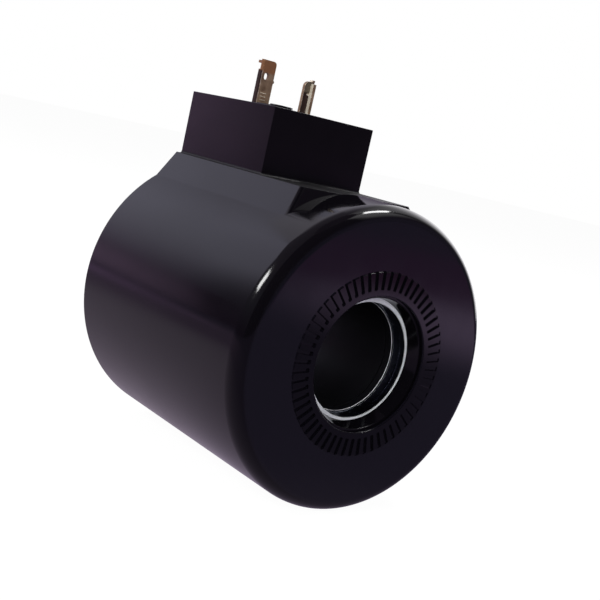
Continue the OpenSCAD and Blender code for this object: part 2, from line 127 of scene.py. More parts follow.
class Bench:
    """Modelling tools used as by hand, in millimetres until a piece is finished."""

    @staticmethod
    def clear() -> None:
        """Leaves edit mode and drops the selection."""
        if bpy.context.object and bpy.context.object.mode != "OBJECT":
            bpy.ops.object.mode_set(mode="OBJECT")
        bpy.ops.object.select_all(action="DESELECT")

    @classmethod
    def take(cls, piece: Object) -> None:
        """Selects one piece alone.

        Args:
            piece: The piece to select.
        """
        cls.clear()
        piece.select_set(True)
        bpy.context.view_layer.objects.active = piece

    @classmethod
    @contextmanager
    def editing(cls, piece: Object) -> Iterator[None]:
        """Opens a piece in edit mode for as long as the block runs.

        Args:
            piece: The piece to open.

        Yields:
            Nothing, once edit mode is on.
        """
        cls.take(piece)
        bpy.ops.object.mode_set(mode="EDIT")
        yield
        bpy.ops.object.mode_set(mode="OBJECT")

    @staticmethod
    def pick_verts(piece: Object, test: Callable[[Vector], bool]) -> None:
        """Selects the vertices whose place passes a test, in edit mode.

        Args:
            piece: The piece that is open in edit mode.
            test: Says of a vertex's place whether it is wanted.
        """
        bpy.ops.mesh.select_mode(type="VERT")
        bpy.ops.mesh.select_all(action="DESELECT")
        mesh = bmesh.from_edit_mesh(piece.data)
        for vert in mesh.verts:
            vert.select_set(test(vert.co))
        mesh.select_flush_mode()
        bmesh.update_edit_mesh(piece.data)

    @staticmethod
    def pick_edges(piece: Object, test: Callable[[Edge], bool]) -> int:
        """Selects the edges that pass a test, in edit mode.

        Args:
            piece: The piece that is open in edit mode.
            test: Says of an edge whether it is wanted.

        Returns:
            The number of edges that were selected.
        """
        bpy.ops.mesh.select_mode(type="EDGE")
        bpy.ops.mesh.select_all(action="DESELECT")
        mesh = bmesh.from_edit_mesh(piece.data)
        wanted = [edge for edge in mesh.edges if test(edge)]
        for edge in wanted:
            edge.select_set(True)
        bmesh.update_edit_mesh(piece.data)
        return len(wanted)

    @classmethod
    def line(cls, name: str, points: Sequence[Vector]) -> Object:
        """Draws an open line by extruding one vertex from point to point.

        Args:
            name: The new piece's name.
            points: The corners of the line.

        Returns:
            A piece that holds only the line.
        """
        cls.clear()
        bpy.ops.mesh.primitive_plane_add(size=1.0)
        piece = bpy.context.object
        piece.name = name
        with cls.editing(piece):
            bpy.ops.mesh.select_mode(type="VERT")
            bpy.ops.mesh.select_all(action="SELECT")
            bpy.ops.mesh.merge(type="CENTER")
            bpy.ops.transform.translate(value=points[0])
            for here, there in zip(points, points[1:]):
                bpy.ops.mesh.extrude_vertices_move(TRANSFORM_OT_translate={"value": there - here})
        return piece

    @classmethod
    def draw(cls, name: str, points: Sequence[Vector]) -> Object:
        """Draws a closed line through the given corners.

        Args:
            name: The new piece's name.
            points: The corners of the line.

        Returns:
            A piece that holds only the line.
        """
        piece = cls.line(name, points)
        with cls.editing(piece):
            ends = (points[0], points[-1])
            cls.pick_verts(piece, lambda place: min((place - end).length for end in ends) < SAME)
            bpy.ops.mesh.edge_face_add()
        return piece

    @classmethod
    def lathe(
        cls, name: str, outline: Outline, steps: int, start: float = 0.0, upright: Vector | None = None
    ) -> Object:
        """Turns a closed outline about the bore's axis or about an upright one.

        Args:
            name: The new piece's name.
            outline: Pairs of a radius and a place along the axis.
            steps: Segments of the full turn.
            start: Angle of the first segment in degrees, about the bore's axis.
            upright: A point on an upright axis, or nothing for the bore's axis.

        Returns:
            The closed, round piece.
        """
        turn = math.radians(start)
        if upright is None:
            points = [Vector((r * math.cos(turn), y, r * math.sin(turn))) for r, y in outline]
            centre, axis = (0.0, 0.0, 0.0), BORE_AXIS
        else:
            points = [Vector((upright.x + r, upright.y, z)) for r, z in outline]
            centre, axis = (upright.x, upright.y, 0.0), UPRIGHT_AXIS
        piece = cls.draw(name, points)
        with cls.editing(piece):
            cls.spin(steps, FULL_TURN, axis, centre)
            cls.close()
        return piece

    @staticmethod
    def spin(
        steps: int, angle: float, axis: Point, centre: Point = (0.0, 0.0, 0.0), copies: bool = False
    ) -> None:
        """Spins all that is open in edit mode about an axis.

        Args:
            steps: Segments of the turn.
            angle: The turn in radians.
            axis: The axis's direction.
            centre: A point on the axis.
            copies: Whether separate copies are made and not a skin.
        """
        bpy.ops.mesh.select_all(action="SELECT")
        bpy.ops.mesh.spin(steps=steps, dupli=copies, angle=angle, center=centre, axis=axis)

    @classmethod
    def prism(cls, name: str, points: Sequence[Vector], push: Vector) -> Object:
        """Fills an outline and extrudes it.

        Args:
            name: The new piece's name.
            points: The outline's corners.
            push: Direction and length of the extrusion.

        Returns:
            The closed prism.
        """
        piece = cls.draw(name, points)
        with cls.editing(piece):
            bpy.ops.mesh.select_all(action="SELECT")
            bpy.ops.mesh.edge_face_add()
            bpy.ops.mesh.extrude_region_move(TRANSFORM_OT_translate={"value": push})
            cls.close()
        return piece

    @staticmethod
    def close() -> None:
        """Merges doubled vertices and turns all faces outwards, in edit mode."""
        bpy.ops.mesh.select_all(action="SELECT")
        bpy.ops.mesh.remove_doubles(threshold=SAME)
        bpy.ops.mesh.normals_make_consistent(inside=False)

    @staticmethod
    def settle(name: str) -> Object:
        """Names the newest primitive and puts its place and size into its mesh.

        Args:
            name: The new piece's name.

        Returns:
            The piece.
        """
        piece = bpy.context.object
        piece.name = name
        bpy.ops.object.transform_apply(location=True, rotation=True, scale=True)
        return piece

    @classmethod
    def block(cls, name: str, low: Sequence[float], high: Sequence[float]) -> Object:
        """Adds a cube and sizes it to two corners.

        Args:
            name: The new piece's name.
            low: The lowest corner.
            high: The highest corner.

        Returns:
            The block.
        """
        cls.clear()
        one, two = Vector(low), Vector(high)
        bpy.ops.mesh.primitive_cube_add(size=1.0, location=(one + two) / 2.0, scale=two - one)
        return cls.settle(name)

    @classmethod
    def rod(cls, name: str, sides: int, radius: float, length: float, middle: Sequence[float]) -> Object:
        """Adds a cylinder that lies along the bore.

        Args:
            name: The new piece's name.
            sides: Segments round it.
            radius: Its radius.
            length: Its length.
            middle: Its middle.

        Returns:
            The cylinder.
        """
        cls.clear()
        bpy.ops.mesh.primitive_cylinder_add(
            vertices=sides, radius=radius, depth=length, rotation=(math.pi / 2.0, 0.0, 0.0), location=middle
        )
        return cls.settle(name)

    @classmethod
    def shift(cls, piece: Object, test: Callable[[Vector], bool], by: Point) -> None:
        """Moves the vertices that pass a test.

        Args:
            piece: The piece to work on.
            test: Says of a vertex's place whether it moves.
            by: How far it moves.
        """
        with cls.editing(piece):
            cls.pick_verts(piece, test)
            bpy.ops.transform.translate(value=by)

    @classmethod
    def round_edges(cls, piece: Object, width: float, segments: int, test: Callable[[Edge], bool]) -> None:
        """Bevels the edges that pass a test.

        Args:
            piece: The piece to work on.
            width: The bevel's width.
            segments: Segments across the bevel.
            test: Says of an edge whether it is bevelled.
        """
        with cls.editing(piece):
            if cls.pick_edges(piece, test):
                bpy.ops.mesh.bevel(offset=width, segments=segments, affect="EDGES", clamp_overlap=True)

    @classmethod
    def paint(cls, piece: Object, test: Callable[[Vector], bool], material: int) -> None:
        """Gives the faces whose middle passes a test another of the piece's materials.

        Args:
            piece: The piece to paint.
            test: Says of a face's middle whether the face is painted.
            material: The material's place in the piece's list.
        """
        with cls.editing(piece):
            bpy.ops.mesh.select_mode(type="FACE")
            bpy.ops.mesh.select_all(action="DESELECT")
            mesh = bmesh.from_edit_mesh(piece.data)
            for face in mesh.faces:
                face.select_set(test(face.calc_center_median()))
            bmesh.update_edit_mesh(piece.data)
            piece.active_material_index = material
            bpy.ops.object.material_slot_assign()

    @classmethod
    def soften(cls, piece: Object, width: float, segments: int, material: int) -> None:
        """Bevels every sharp edge with a modifier and gives the bevels a material of their own.

        Args:
            piece: The piece to work on.
            width: The bevel's width.
            segments: Segments across the bevel.
            material: The place of the bevels' material in the piece's list.
        """
        cls.take(piece)
        bevel = piece.modifiers.new("soft_edges", "BEVEL")
        bevel.width = width
        bevel.segments = segments
        bevel.limit_method = "ANGLE"
        bevel.angle_limit = math.radians(SHARP)
        bevel.material = material
        bpy.ops.object.modifier_apply(modifier=bevel.name)

    @classmethod
    def work(cls, piece: Object, tool: Object, how: Join) -> None:
        """Joins a second solid to a piece, cuts it away or keeps what both share.

        Args:
            piece: The piece that stays.
            tool: The second solid, which is used up.
            how: The way they are worked together.
        """
        cls.take(piece)
        step = piece.modifiers.new("work", "BOOLEAN")
        step.operation = how.value
        step.solver = "EXACT"
        step.object = tool
        bpy.ops.object.modifier_apply(modifier=step.name)
        mesh = tool.data
        bpy.data.objects.remove(tool)
        bpy.data.meshes.remove(mesh)

    @classmethod
    def finish(cls, piece: Object, angle: float) -> None:
        """Brings a piece to metres and shades it smooth.

        Args:
            piece: The modelled piece, in millimetres.
            angle: The largest turn in degrees that is shaded smooth.
        """
        cls.take(piece)
        piece.scale = (MM, MM, MM)
        bpy.ops.object.transform_apply(location=True, rotation=True, scale=True)
        bpy.ops.object.shade_smooth_by_angle(angle=math.radians(angle))
        level = piece.modifiers.new("even_normals", "WEIGHTED_NORMAL")
        level.keep_sharp = True
        bpy.ops.object.modifier_apply(modifier=level.name)


class Board:
    """A material's node tree with short ways to add nodes."""

    def __init__(self, name: str, kind: str = "ShaderNodeBsdfPrincipled", result: str = "BSDF") -> None:
        """Starts a material with one shader wired to its output.

        Args:
            name: The material's name.
            kind: The shader's type.
            result: The name of the shader's output.
        """
        self.material = bpy.data.materials.new(name)
        self.material.use_nodes = True
        self.tree = self.material.node_tree
        self.tree.nodes.clear()
        output = self.add("ShaderNodeOutputMaterial")
        self.shader = self.add(kind)
        self.wire(self.shader.outputs[result], output.inputs["Surface"])
        self.place = self.add("ShaderNodeTexCoord").outputs["Object"]

    def add(self, kind: str, **values: object) -> bpy.types.Node:
        """Adds a node and sets its properties.

        Args:
            kind: The node's type.
            values: Properties of the node by name.

        Returns:
            The new node.
        """
        node = self.tree.nodes.new(kind)
        for key, value in values.items():
            setattr(node, key, value)
        return node

    def wire(self, source: Socket, target: Socket) -> None:
        """Links two sockets."""
        self.tree.links.new(source, target)

    def set(self, **values: float | tuple[float, ...]) -> None:
        """Sets sockets of the shader, with underscores for the spaces in their names."""
        for key, value in values.items():
            self.shader.inputs[key.replace("_", " ")].default_value = value

    def split(self) -> bpy.types.Node:
        """Splits the place on the piece into its three coordinates.

        Returns:
            A node with an output for each coordinate.
        """
        node = self.add("ShaderNodeSeparateXYZ")
        self.wire(self.place, node.inputs["Vector"])
        return node

    def noise(self, scale: float, detail: float = 2.0, stretch: Point = (1.0, 1.0, 1.0)) -> Socket:
        """Adds noise over the piece.

        Args:
            scale: Features per metre.
            detail: Octaves of the noise.
            stretch: Factors on the three axes.

        Returns:
            The noise value's socket.
        """
        mapping = self.add("ShaderNodeMapping")
        mapping.inputs["Scale"].default_value = stretch
        self.wire(self.place, mapping.inputs["Vector"])
        node = self.add("ShaderNodeTexNoise")
        node.inputs["Scale"].default_value = scale
        node.inputs["Detail"].default_value = detail
        self.wire(mapping.outputs["Vector"], node.inputs["Vector"])
        return node.outputs["Fac"]

    def wave(self, scale: float, axis: str, kind: Wave, distortion: float) -> Socket:
        """Adds bands or rings over the piece.

        Args:
            scale: The wave's scale.
            axis: The axis of the bands or rings.
            kind: The kind of wave.
            distortion: How far the wave wanders.

        Returns:
            The wave value's socket.
        """
        node = self.add("ShaderNodeTexWave", wave_type=kind.name, wave_profile="SIN")
        setattr(node, kind.value, axis)
        node.inputs["Scale"].default_value = scale
        node.inputs["Distortion"].default_value = distortion
        self.wire(self.place, node.inputs["Vector"])
        return node.outputs["Fac"]

    def span(self, source: Socket, low: float, high: float, start: float = 0.0, end: float = 1.0) -> Socket:
        """Maps a value smoothly to a new range.

        Args:
            source: The value's socket.
            low: Result at the start.
            high: Result at the end.
            start: Value that gives low.
            end: Value that gives high.

        Returns:
            The mapped value's socket.
        """
        node = self.add("ShaderNodeMapRange")
        node.interpolation_type = "SMOOTHSTEP"
        for key, value in (("From Min", start), ("From Max", end), ("To Min", low), ("To Max", high)):
            node.inputs[key].default_value = value
        self.wire(source, node.inputs["Value"])
        return node.outputs["Result"]

    def blend(self, share: Socket, first: Colour, second: Colour | Socket) -> Socket:
        """Mixes two colours by a value.

        Args:
            share: The value, 0 for the first colour.
            first: The first colour.
            second: The second colour or its socket.

        Returns:
            The mixed colour's socket.
        """
        node = self.add("ShaderNodeMix", data_type="RGBA")
        colours = [socket for socket in node.inputs if socket.type == "RGBA"]
        colours[0].default_value = (*first, 1.0)
        if isinstance(second, tuple):
            colours[1].default_value = (*second, 1.0)
        else:
            self.wire(second, colours[1])
        self.wire(share, node.inputs["Factor"])
        return next(socket for socket in node.outputs if socket.type == "RGBA")

    def calc(self, how: str, first: Socket, second: Socket) -> Socket:
        """Works out one value from two.

        Args:
            how: The sum to do, such as ADD or MULTIPLY.
            first: The first value's socket.
            second: The second value's socket.

        Returns:
            The result's socket.
        """
        node = self.add("ShaderNodeMath", operation=how)
        self.wire(first, node.inputs[0])
        self.wire(second, node.inputs[1])
        return node.outputs[0]

    def bump(
        self, height: Socket, depth: float, strength: float, under: Socket | None = None
    ) -> Socket:
        """Adds a bump from a height.

        Args:
            height: The height's socket.
            depth: Depth of the relief in metres.
            strength: Share of the bump that shows.
            under: A bump that this one lies on.

        Returns:
            The normal's socket.
        """
        node = self.add("ShaderNodeBump")
        node.inputs["Strength"].default_value = strength
        node.inputs["Distance"].default_value = depth
        self.wire(height, node.inputs["Height"])
        if under is not None:
            self.wire(under, node.inputs["Normal"])
        return node.outputs["Normal"]

    def dress(self, colour: Socket, roughness: Socket, normal: Socket) -> bpy.types.Material:
        """Wires colour, roughness and normal to the shader.

        Args:
            colour: The colour's socket.
            roughness: The roughness's socket.
            normal: The normal's socket.

        Returns:
            The finished material.
        """
        self.wire(colour, self.shader.inputs["Base Color"])
        self.wire(roughness, self.shader.inputs["Roughness"])
        self.wire(normal, self.shader.inputs["Normal"])
        return self.material


@dataclass(frozen=True)
class Moulded:
    """A moulded plastic with a fine grain, flow marks, a smoother front, a rougher saddle top and a painted
    sheen: a lighter front face.

    The ranges in capitals are where one zone fades into the next, in metres of the frame.
    """

    name: str
    colour: Colour
    tint: Colour
    # The front face's colour: a painted sheen, lighter than the rest of the moulding.
    face_sheen: Colour
    land: Colour
    satin: float
    gloss: float
    grain: float
    depth: float

    LAND_Y = (-0.03225, -0.0321)
    FACE_Y = (-0.03199, -0.0317)
    SATIN_Y = (-0.018, 0.0)
    SADDLE_Y = (-0.0178, -0.0174)
    SADDLE_FOOT_Z = (0.03105, 0.03115)
    SADDLE_TOP_Z = (0.0316, 0.0318)
    SADDLE_MATT = 0.3
    CLOUD = (-0.02, 0.03)
    WAVE_DEPTH = 0.00004

    def material(self) -> bpy.types.Material:
        """Builds the plastic's material.

        Returns:
            The material.
        """
        board = Board(self.name)
        board.set(IOR=1.5, Specular_IOR_Level=0.38)
        split = board.split()
        along, up = split.outputs["Y"], split.outputs["Z"]
        drift = board.span(board.noise(scale=45.0, detail=3.0), 0.0, 1.0, *MOST)
        flow = board.blend(drift, self.colour, self.tint)
        # Painted sheen: the front face is painted lighter, standing in for the light that a dull face
        # scatters.
        face = board.blend(board.span(along, 0.0, 1.0, *self.FACE_Y), self.face_sheen, flow)
        colour = board.blend(board.span(along, 0.0, 1.0, *self.LAND_Y), self.land, face)
        front = board.span(along, self.gloss, self.satin, *self.SATIN_Y)
        behind = board.span(along, 0.0, 1.0, *self.SADDLE_Y)
        above = board.span(up, 0.0, self.SADDLE_MATT, *self.SADDLE_FOOT_Z)
        below = board.span(up, 1.0, 0.0, *self.SADDLE_TOP_Z)
        saddle = board.calc("MULTIPLY", above, board.calc("MULTIPLY", below, behind))
        haze = board.noise(scale=160.0, detail=4.0, stretch=(1.0, 0.4, 1.0))
        cloud = board.span(haze, *self.CLOUD, *MOST)
        rough = board.calc("ADD", board.calc("ADD", front, saddle), cloud)
        grain = board.bump(board.noise(self.grain), self.depth, strength=0.35)
        swell = board.noise(scale=70.0, detail=1.0, stretch=(1.0, 0.3, 1.0))
        waves = board.bump(swell, self.WAVE_DEPTH, strength=0.12, under=grain)
        return board.dress(colour, rough, waves)


@dataclass(frozen=True)
class Turned:
    """A machined metal with tool rings about an axis."""

    name: str
    colour: Colour
    stain: Colour
    roughness: float
    rings: float
    depth: float
    axis: str = "Y"
    metal: float = 1.0

    STAINED = (0.35, 0.75)
    SMOOTHER = 0.05
    ROUGHER = 0.08

    def material(self) -> bpy.types.Material:
        """Builds the metal's material.

        Returns:
            The material.
        """
        board = Board(self.name)
        board.set(Metallic=self.metal)
        stains = board.span(board.noise(scale=300.0, detail=5.0), 0.0, 1.0, *self.STAINED)
        colour = board.blend(stains, self.colour, self.stain)
        low, high = self.roughness - self.SMOOTHER, self.roughness + self.ROUGHER
        rough = board.span(board.noise(scale=900.0, detail=3.0), low, high, *MOST)
        rings = board.wave(self.rings, self.axis, Wave.RINGS, distortion=0.6)
        turned = board.bump(rings, self.depth, strength=0.5)
        grain = board.bump(board.noise(scale=2500.0), self.depth, strength=0.4, under=turned)
        return board.dress(colour, rough, grain)


@dataclass(frozen=True)
class Sheet:
    """A rolled or stamped sheet metal with drawn streaks along one axis.

    Above the height flush_z it takes on the tint flush.
    """

    name: str
    colour: Colour
    stain: Colour
    roughness: float
    streak: Point = (1.0, 1.0, 0.08)
    metal: float = 1.0
    flush: Colour | None = None
    flush_z: float = 0.0

    STAINED = (0.38, 0.7)
    SMOOTHER = 0.08
    ROUGHER = 0.12
    FADE = 0.0003
    STREAK_DEPTH = 0.00002

    def material(self) -> bpy.types.Material:
        """Builds the sheet's material.

        Returns:
            The material.
        """
        board = Board(self.name)
        board.set(Metallic=self.metal)
        stains = board.span(board.noise(scale=420.0, detail=5.0), 0.0, 1.0, *self.STAINED)
        colour = board.blend(stains, self.colour, self.stain)
        if self.flush:
            start, end = self.flush_z - self.FADE, self.flush_z + self.FADE
            below = board.span(board.split().outputs["Z"], 1.0, 0.0, start, end)
            colour = board.blend(below, self.flush, colour)
        lines = board.noise(scale=2600.0, detail=3.0, stretch=self.streak)
        rough = board.span(lines, self.roughness - self.SMOOTHER, self.roughness + self.ROUGHER, *MOST)
        return board.dress(colour, rough, board.bump(lines, self.STREAK_DEPTH, strength=0.4))


@dataclass(frozen=True)
class Wound:
    """Enamelled wire in turns side by side along the bore, with painted shade in the grooves between turns.
    """

    name: str
    colour: Colour
    # Painted shade in the grooves between turns.
    groove: Colour
    pitch: float

    GROOVE_SHADE = (0.1, 0.6)
    ROUGH = (0.22, 0.4)
    RELIEF = 0.3

    def material(self) -> bpy.types.Material:
        """Builds the winding's material.

        Returns:
            The material.
        """
        board = Board(self.name)
        board.set(Metallic=1.0, Coat_Weight=0.6, Coat_Roughness=0.15)
        # A wave of scale 1 repeats every pi / 10.
        turns = board.wave(math.pi / (10.0 * self.pitch), "Y", Wave.BANDS, distortion=0.2)
        # Painted shade: the grooves between turns take the darker colour.
        colour = board.blend(board.span(turns, 0.0, 1.0, *self.GROOVE_SHADE), self.groove, self.colour)
        rough = board.span(board.noise(scale=700.0, detail=3.0), *self.ROUGH, *MOST)
        return board.dress(colour, rough, board.bump(turns, self.pitch * self.RELIEF, strength=0.8))


@dataclass(frozen=True)
class Wrapped:
    """Tape, pressed paper or braid with a weave over its surface."""

    name: str
    colour: Colour
    tint: Colour
    weave: float
    roughness: float
    depth: float

    SPREAD = 0.08

    def material(self) -> bpy.types.Material:
        """Builds the wrap's material.

        Returns:
            The material.
        """
        board = Board(self.name)
        drift = board.span(board.noise(scale=220.0, detail=4.0), 0.0, 1.0, *MOST)
        colour = board.blend(drift, self.colour, self.tint)
        ways = [board.wave(self.weave, way, Wave.BANDS, distortion=0.4) for way in ("DIAGONAL", "Y")]
        threads = board.calc("ADD", *ways)
        low, high = self.roughness - self.SPREAD, self.roughness + self.SPREAD
        rough = board.span(board.noise(scale=500.0, detail=3.0), low, high, *MOST)
        return board.dress(colour, rough, board.bump(threads, self.depth, strength=0.5))


class Finishes:
    """All finishes of the coil: one material for each slot, and those of a few cut faces, darker sides and
    painted highlights.
    """

    def __init__(self) -> None:
        """Makes every material once."""
        soot, copper_red = (0.010, 0.010, 0.012), (0.34, 0.16, 0.08)
        brown, umber = (0.05, 0.028, 0.024), (0.035, 0.02, 0.018)
        slots = {
            # The moulding's front face colour is a painted sheen, lighter than the rest.
            Slot.MOULDING: Moulded(
                "black_moulding", colour=(0.0020, 0.0017, 0.0027), tint=(0.0028, 0.0022, 0.0034),
                face_sheen=(0.0062, 0.0054, 0.0094), land=(0.0022, 0.0019, 0.0032),
                satin=0.20, gloss=0.09, grain=3800.0, depth=0.000005
            ),
            Slot.PLATE: Turned(
                "plated_steel", (0.52, 0.60, 0.74), (0.46, 0.53, 0.66),
                roughness=0.16, rings=260.0, depth=0.000001
            ),
            Slot.TUBE: Sheet(
                "rolled_steel", (0.42, 0.42, 0.43), (0.3, 0.29, 0.28), 0.38, streak=(0.1, 1.0, 0.1)
            ),
            Slot.BOBBIN: Moulded(
                "bobbin_plastic", colour=(0.007, 0.007, 0.009), tint=soot, face_sheen=soot, land=soot,
                satin=0.34, gloss=0.34, grain=2600.0, depth=0.00001
            ),
            Slot.WIRE: Wound("enamelled_copper", (0.5, 0.2, 0.08), (0.12, 0.04, 0.02), pitch=0.0006),
            Slot.TAPE: Wrapped(
                "winding_tape", (0.75, 0.55, 0.12), (0.66, 0.46, 0.09),
                weave=120.0, roughness=0.35, depth=0.00002
            ),
            Slot.STRIP: Wrapped(
                "insulating_strip", (0.82, 0.78, 0.65), (0.74, 0.69, 0.55),
                weave=900.0, roughness=0.7, depth=0.00003
            ),
            Slot.LEAD: Sheet("bare_copper", (0.65, 0.3, 0.15), (0.5, 0.2, 0.1), 0.3),
            Slot.TIN: Sheet("tinned_metal", (0.7, 0.7, 0.69), (0.55, 0.55, 0.54), 0.35),
            Slot.SLEEVE: Wrapped(
                "glass_sleeving", (0.8, 0.78, 0.72), (0.7, 0.67, 0.6),
                weave=700.0, roughness=0.55, depth=0.00006
            ),
            Slot.TAB: Sheet(
                "terminal_brass", (0.40, 0.275, 0.185), (0.20, 0.125, 0.08), 0.38, metal=0.55,
                flush=copper_red, flush_z=0.0532
            ),
            Slot.INSERT: Turned(
                "insert_brass", (0.72, 0.52, 0.22), (0.55, 0.38, 0.16),
                roughness=0.25, rings=300.0, depth=0.00001, axis="Z"
            ),
        }
        self.of = {slot: finish.material() for slot, finish in slots.items()}
        # Bright brass for sheared edges and hole walls, also used as a painted highlight on rib crests and on
        # one flange side.
        self.sheared_edge_and_highlight = Sheet(
            "sheared_brass_edge_and_highlight", (0.95, 0.87, 0.74), (0.84, 0.74, 0.58), 0.35, metal=0.2
        ).material()
        # Darker brass for the front tab's web side, lighter above 50.3 mm.
        self.dark_web = Sheet(
            "dark_brass_web", brown, umber, 0.4, metal=0.55, flush=(0.16, 0.13, 0.095), flush_z=0.0503
        ).material()
        # Darker brass for the rear tab's flange side and the bend's part next to it.
        self.dark_flange = Sheet(
            "dark_brass_flange", brown, umber, 0.4, metal=0.55, flush=copper_red, flush_z=0.0536
        ).material()
        # Lighter brass for a painted highlight on the outside of the bend.
        self.bend_highlight = Sheet(
            "brass_bend_highlight", (0.46, 0.36, 0.32), (0.36, 0.27, 0.23), 0.36, metal=0.45,
            flush=copper_red, flush_z=0.0536
        ).material()
        # Machined steel, painted near white and partly diffuse as a painted highlight.
        self.faced_steel_and_highlight = Turned(
            "faced_steel_and_highlight", (0.90, 0.93, 0.96), (0.76, 0.79, 0.83),
            roughness=0.34, rings=900.0, depth=0.000004, metal=0.35
        ).material()
        # A near-white painted highlight for the bobbin's bore edges.
        self.painted_edge_highlight = Sheet("painted_edge_highlight", (0.9, 0.9, 0.94), (0.3, 0.3, 0.33), 0.4, metal=0.2).material()

    def put(self, piece: Object, slot: Slot) -> None:
        """Gives a piece its slot's material and no other."""
        piece.data.materials.clear()
        piece.data.materials.append(self.of[slot])


class Piece:
    """What every modelled piece shares: its body, its node and its slot."""

    @staticmethod
    def register(piece: Object, node: str, slot: Slot) -> None:
        """Lets a piece stand for a node of the frame.

        Args:
            piece: The finished piece.
            node: The node that it replaces.
            slot: Not used.
        """
        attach(piece, "root")
        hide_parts(node)
        LOG.info("%s stands for %s with %d faces", piece.name, node, len(piece.data.polygons))


@dataclass
class Housing:
    """The black moulding: cylinder, rim, serrated land, saddle, connector block and screw boss."""

    body_r: float = 31.5
    half_l: float = 32.0
    rim_r: float = 2.8
    rim_l: float = 3.8
    rear_r: float = 0.8
    land_r: float = 18.9
    land_h: float = 0.3
    land_edge: float = 0.1
    mouth_r: float = 14.0
    mouth_lip: float = 0.22
    mouth_straight: float = 0.9
    throat_r: float = 12.8
    throat_left: float = 0.5
    throat_up: float = 0.32
    throat_slope: float = 17.5
    ledge_r: float = 13.54
    ledge_in: float = 0.11
    ledge_round: float = 0.15
    seat_y: float = 29.0
    cavity_r: float = 29.05
    lap: float = 0.05
    slot_count: int = 60
    slot_w: float = 0.85
    slot_depth: float = 0.5
    slot_from: float = 15.3
    slot_to: float = 19.05
    slot_round: float = 0.2
    segments: int = 240
    segment_start: float = 0.75
    block_half: float = 13.65
    block_front: float = -1.5
    block_rear: float = 31.5
    block_z: float = 45.5
    block_r: float = 0.12
    foot: float = 0.4
    foot_inset: float = 0.4
    foot_sunk: float = 0.6
    foot_over: float = 2.0
    saddle_z: float = 31.2
    saddle_half: float = 14.85
    saddle_front: float = -17.4
    saddle_low: float = 23.55
    saddle_spread: float = 5.07
    saddle_run: float = 2.99
    saddle_corner: float = 0.72
    saddle_edge: float = 0.15
    saddle_lip: float = 0.4
    saddle_long: float = 20.0
    boss_y: float = 15.5
    boss_r: float = 2.7
    boss_z: float = 46.5
    boss_round: float = 0.25
    boss_sides: int = 72
    rib_half: float = 1.9
    rib_end: float = 22.75
    rib_z: float = 46.3
    rib_round: float = 0.15
    insert_r: float = 2.15
    insert_z: float = 39.45
    tip_r: float = 1.7
    tip_z: float = 37.0
    carrier_half: float = 8.05
    carrier_y: Range = (1.35, 28.65)
    carrier_z: float = 35.3
    carrier_deep: float = 2.0
    smooth: float = 32.0

    TAB_SLOTS = (
        ("rear_slot", (-1.95, 1.95), (23.1, 24.2)),
        ("rear_fold", (-1.95, -1.05), (23.3, 24.8)),
        ("front_slot", (-1.25, 1.25), (6.8, 7.7)),
        ("front_fold", (0.35, 1.25), (5.95, 7.7)),
    )

    def outline(self) -> Outline:
        """Gives the cylinder's outline from the front mouth round to the rear one.

        Returns:
            Pairs of a radius and a place along the bore.
        """
        front, land = -self.half_l, -self.half_l - self.land_h
        lip, edge, ledge = self.mouth_lip, self.land_edge, self.ledge_round
        ledge_x = self.ledge_r + self.ledge_in
        step = land + self.mouth_straight
        points: Outline = [(self.throat_r, -self.seat_y)]
        points += arc((ledge_x, step + ledge), ledge, 180.0 + self.throat_slope, 270.0, steps=4)
        points += [(self.mouth_r, step)]
        points += arc((self.mouth_r + lip, land + lip), lip, 180.0, 270.0, steps=4)
        points += arc((self.land_r - edge, land + edge), edge, 270.0, 360.0, steps=3)
        points += [(self.land_r, front)]
        rim = arc((self.body_r - self.rim_r, self.rim_r), self.rim_r, 270.0, 360.0, steps=18)
        points += [(r, front + y * self.rim_l / self.rim_r) for r, y in rim]
        points += arc((self.body_r - self.rear_r, self.half_l - self.rear_r), self.rear_r, 0.0, 90.0, steps=6)
        points += arc((self.mouth_r + lip, self.half_l - lip), lip, 90.0, 180.0, steps=4)
        step = self.half_l - self.mouth_straight
        points += [(self.mouth_r, step)]
        points += arc((ledge_x, step - ledge), ledge, 90.0, 180.0 - self.throat_slope, steps=4)
        return points + [(self.throat_r, self.seat_y)]

    def cylinder(self) -> Object:
        """Turns the cylinder with its rim, land and mouths, and lets the front throat sit off centre.

        Returns:
            The cylinder.
        """
        piece = Bench.lathe("housing_moulding", self.outline(), self.segments, self.segment_start)
        Bench.shift(piece, self.at_throat, (-self.throat_left, 0.0, self.throat_up))
        return piece

    def at_throat(self, place: Vector) -> bool:
        """Tells whether a vertex lies on the front throat's inner edge."""
        return place.y < NEAR - self.seat_y and math.hypot(place.x, place.z) < self.throat_r + NEAR

    def saddle(self) -> Object:
        """Shapes the saddle from a cube whose top is drawn in at the sides and the front.

        Returns:
            The saddle.
        """
        wide, spread = self.saddle_half + self.saddle_spread, self.saddle_spread
        piece = Bench.block(
            "saddle",
            (-wide, self.saddle_front - self.saddle_run, self.saddle_low),
            (wide, self.block_rear, self.saddle_z),
        )
        middle = (self.saddle_low + self.saddle_z) / 2.0
        Bench.shift(piece, lambda v: v.z > middle and v.x < 0.0, (spread, 0.0, 0.0))
        Bench.shift(piece, lambda v: v.z > middle and v.x > 0.0, (-spread, 0.0, 0.0))
        Bench.shift(piece, lambda v: v.z > middle and v.y < 0.0, (0.0, self.saddle_run, 0.0))
        Bench.round_edges(piece, self.saddle_corner, segments=5, test=lambda e: self.crosses(e, middle))
        Bench.round_edges(piece, self.saddle_lip, segments=5, test=lambda e: self.ahead(e, middle))
        Bench.round_edges(piece, self.saddle_edge, segments=3, test=lambda e: self.beside(e, middle))
        return piece

    @staticmethod
    def rises(edge: Edge, height: float) -> bool:
        """Tells whether an edge reaches above a height."""
        return any(vert.co.z > height for vert in edge.verts)

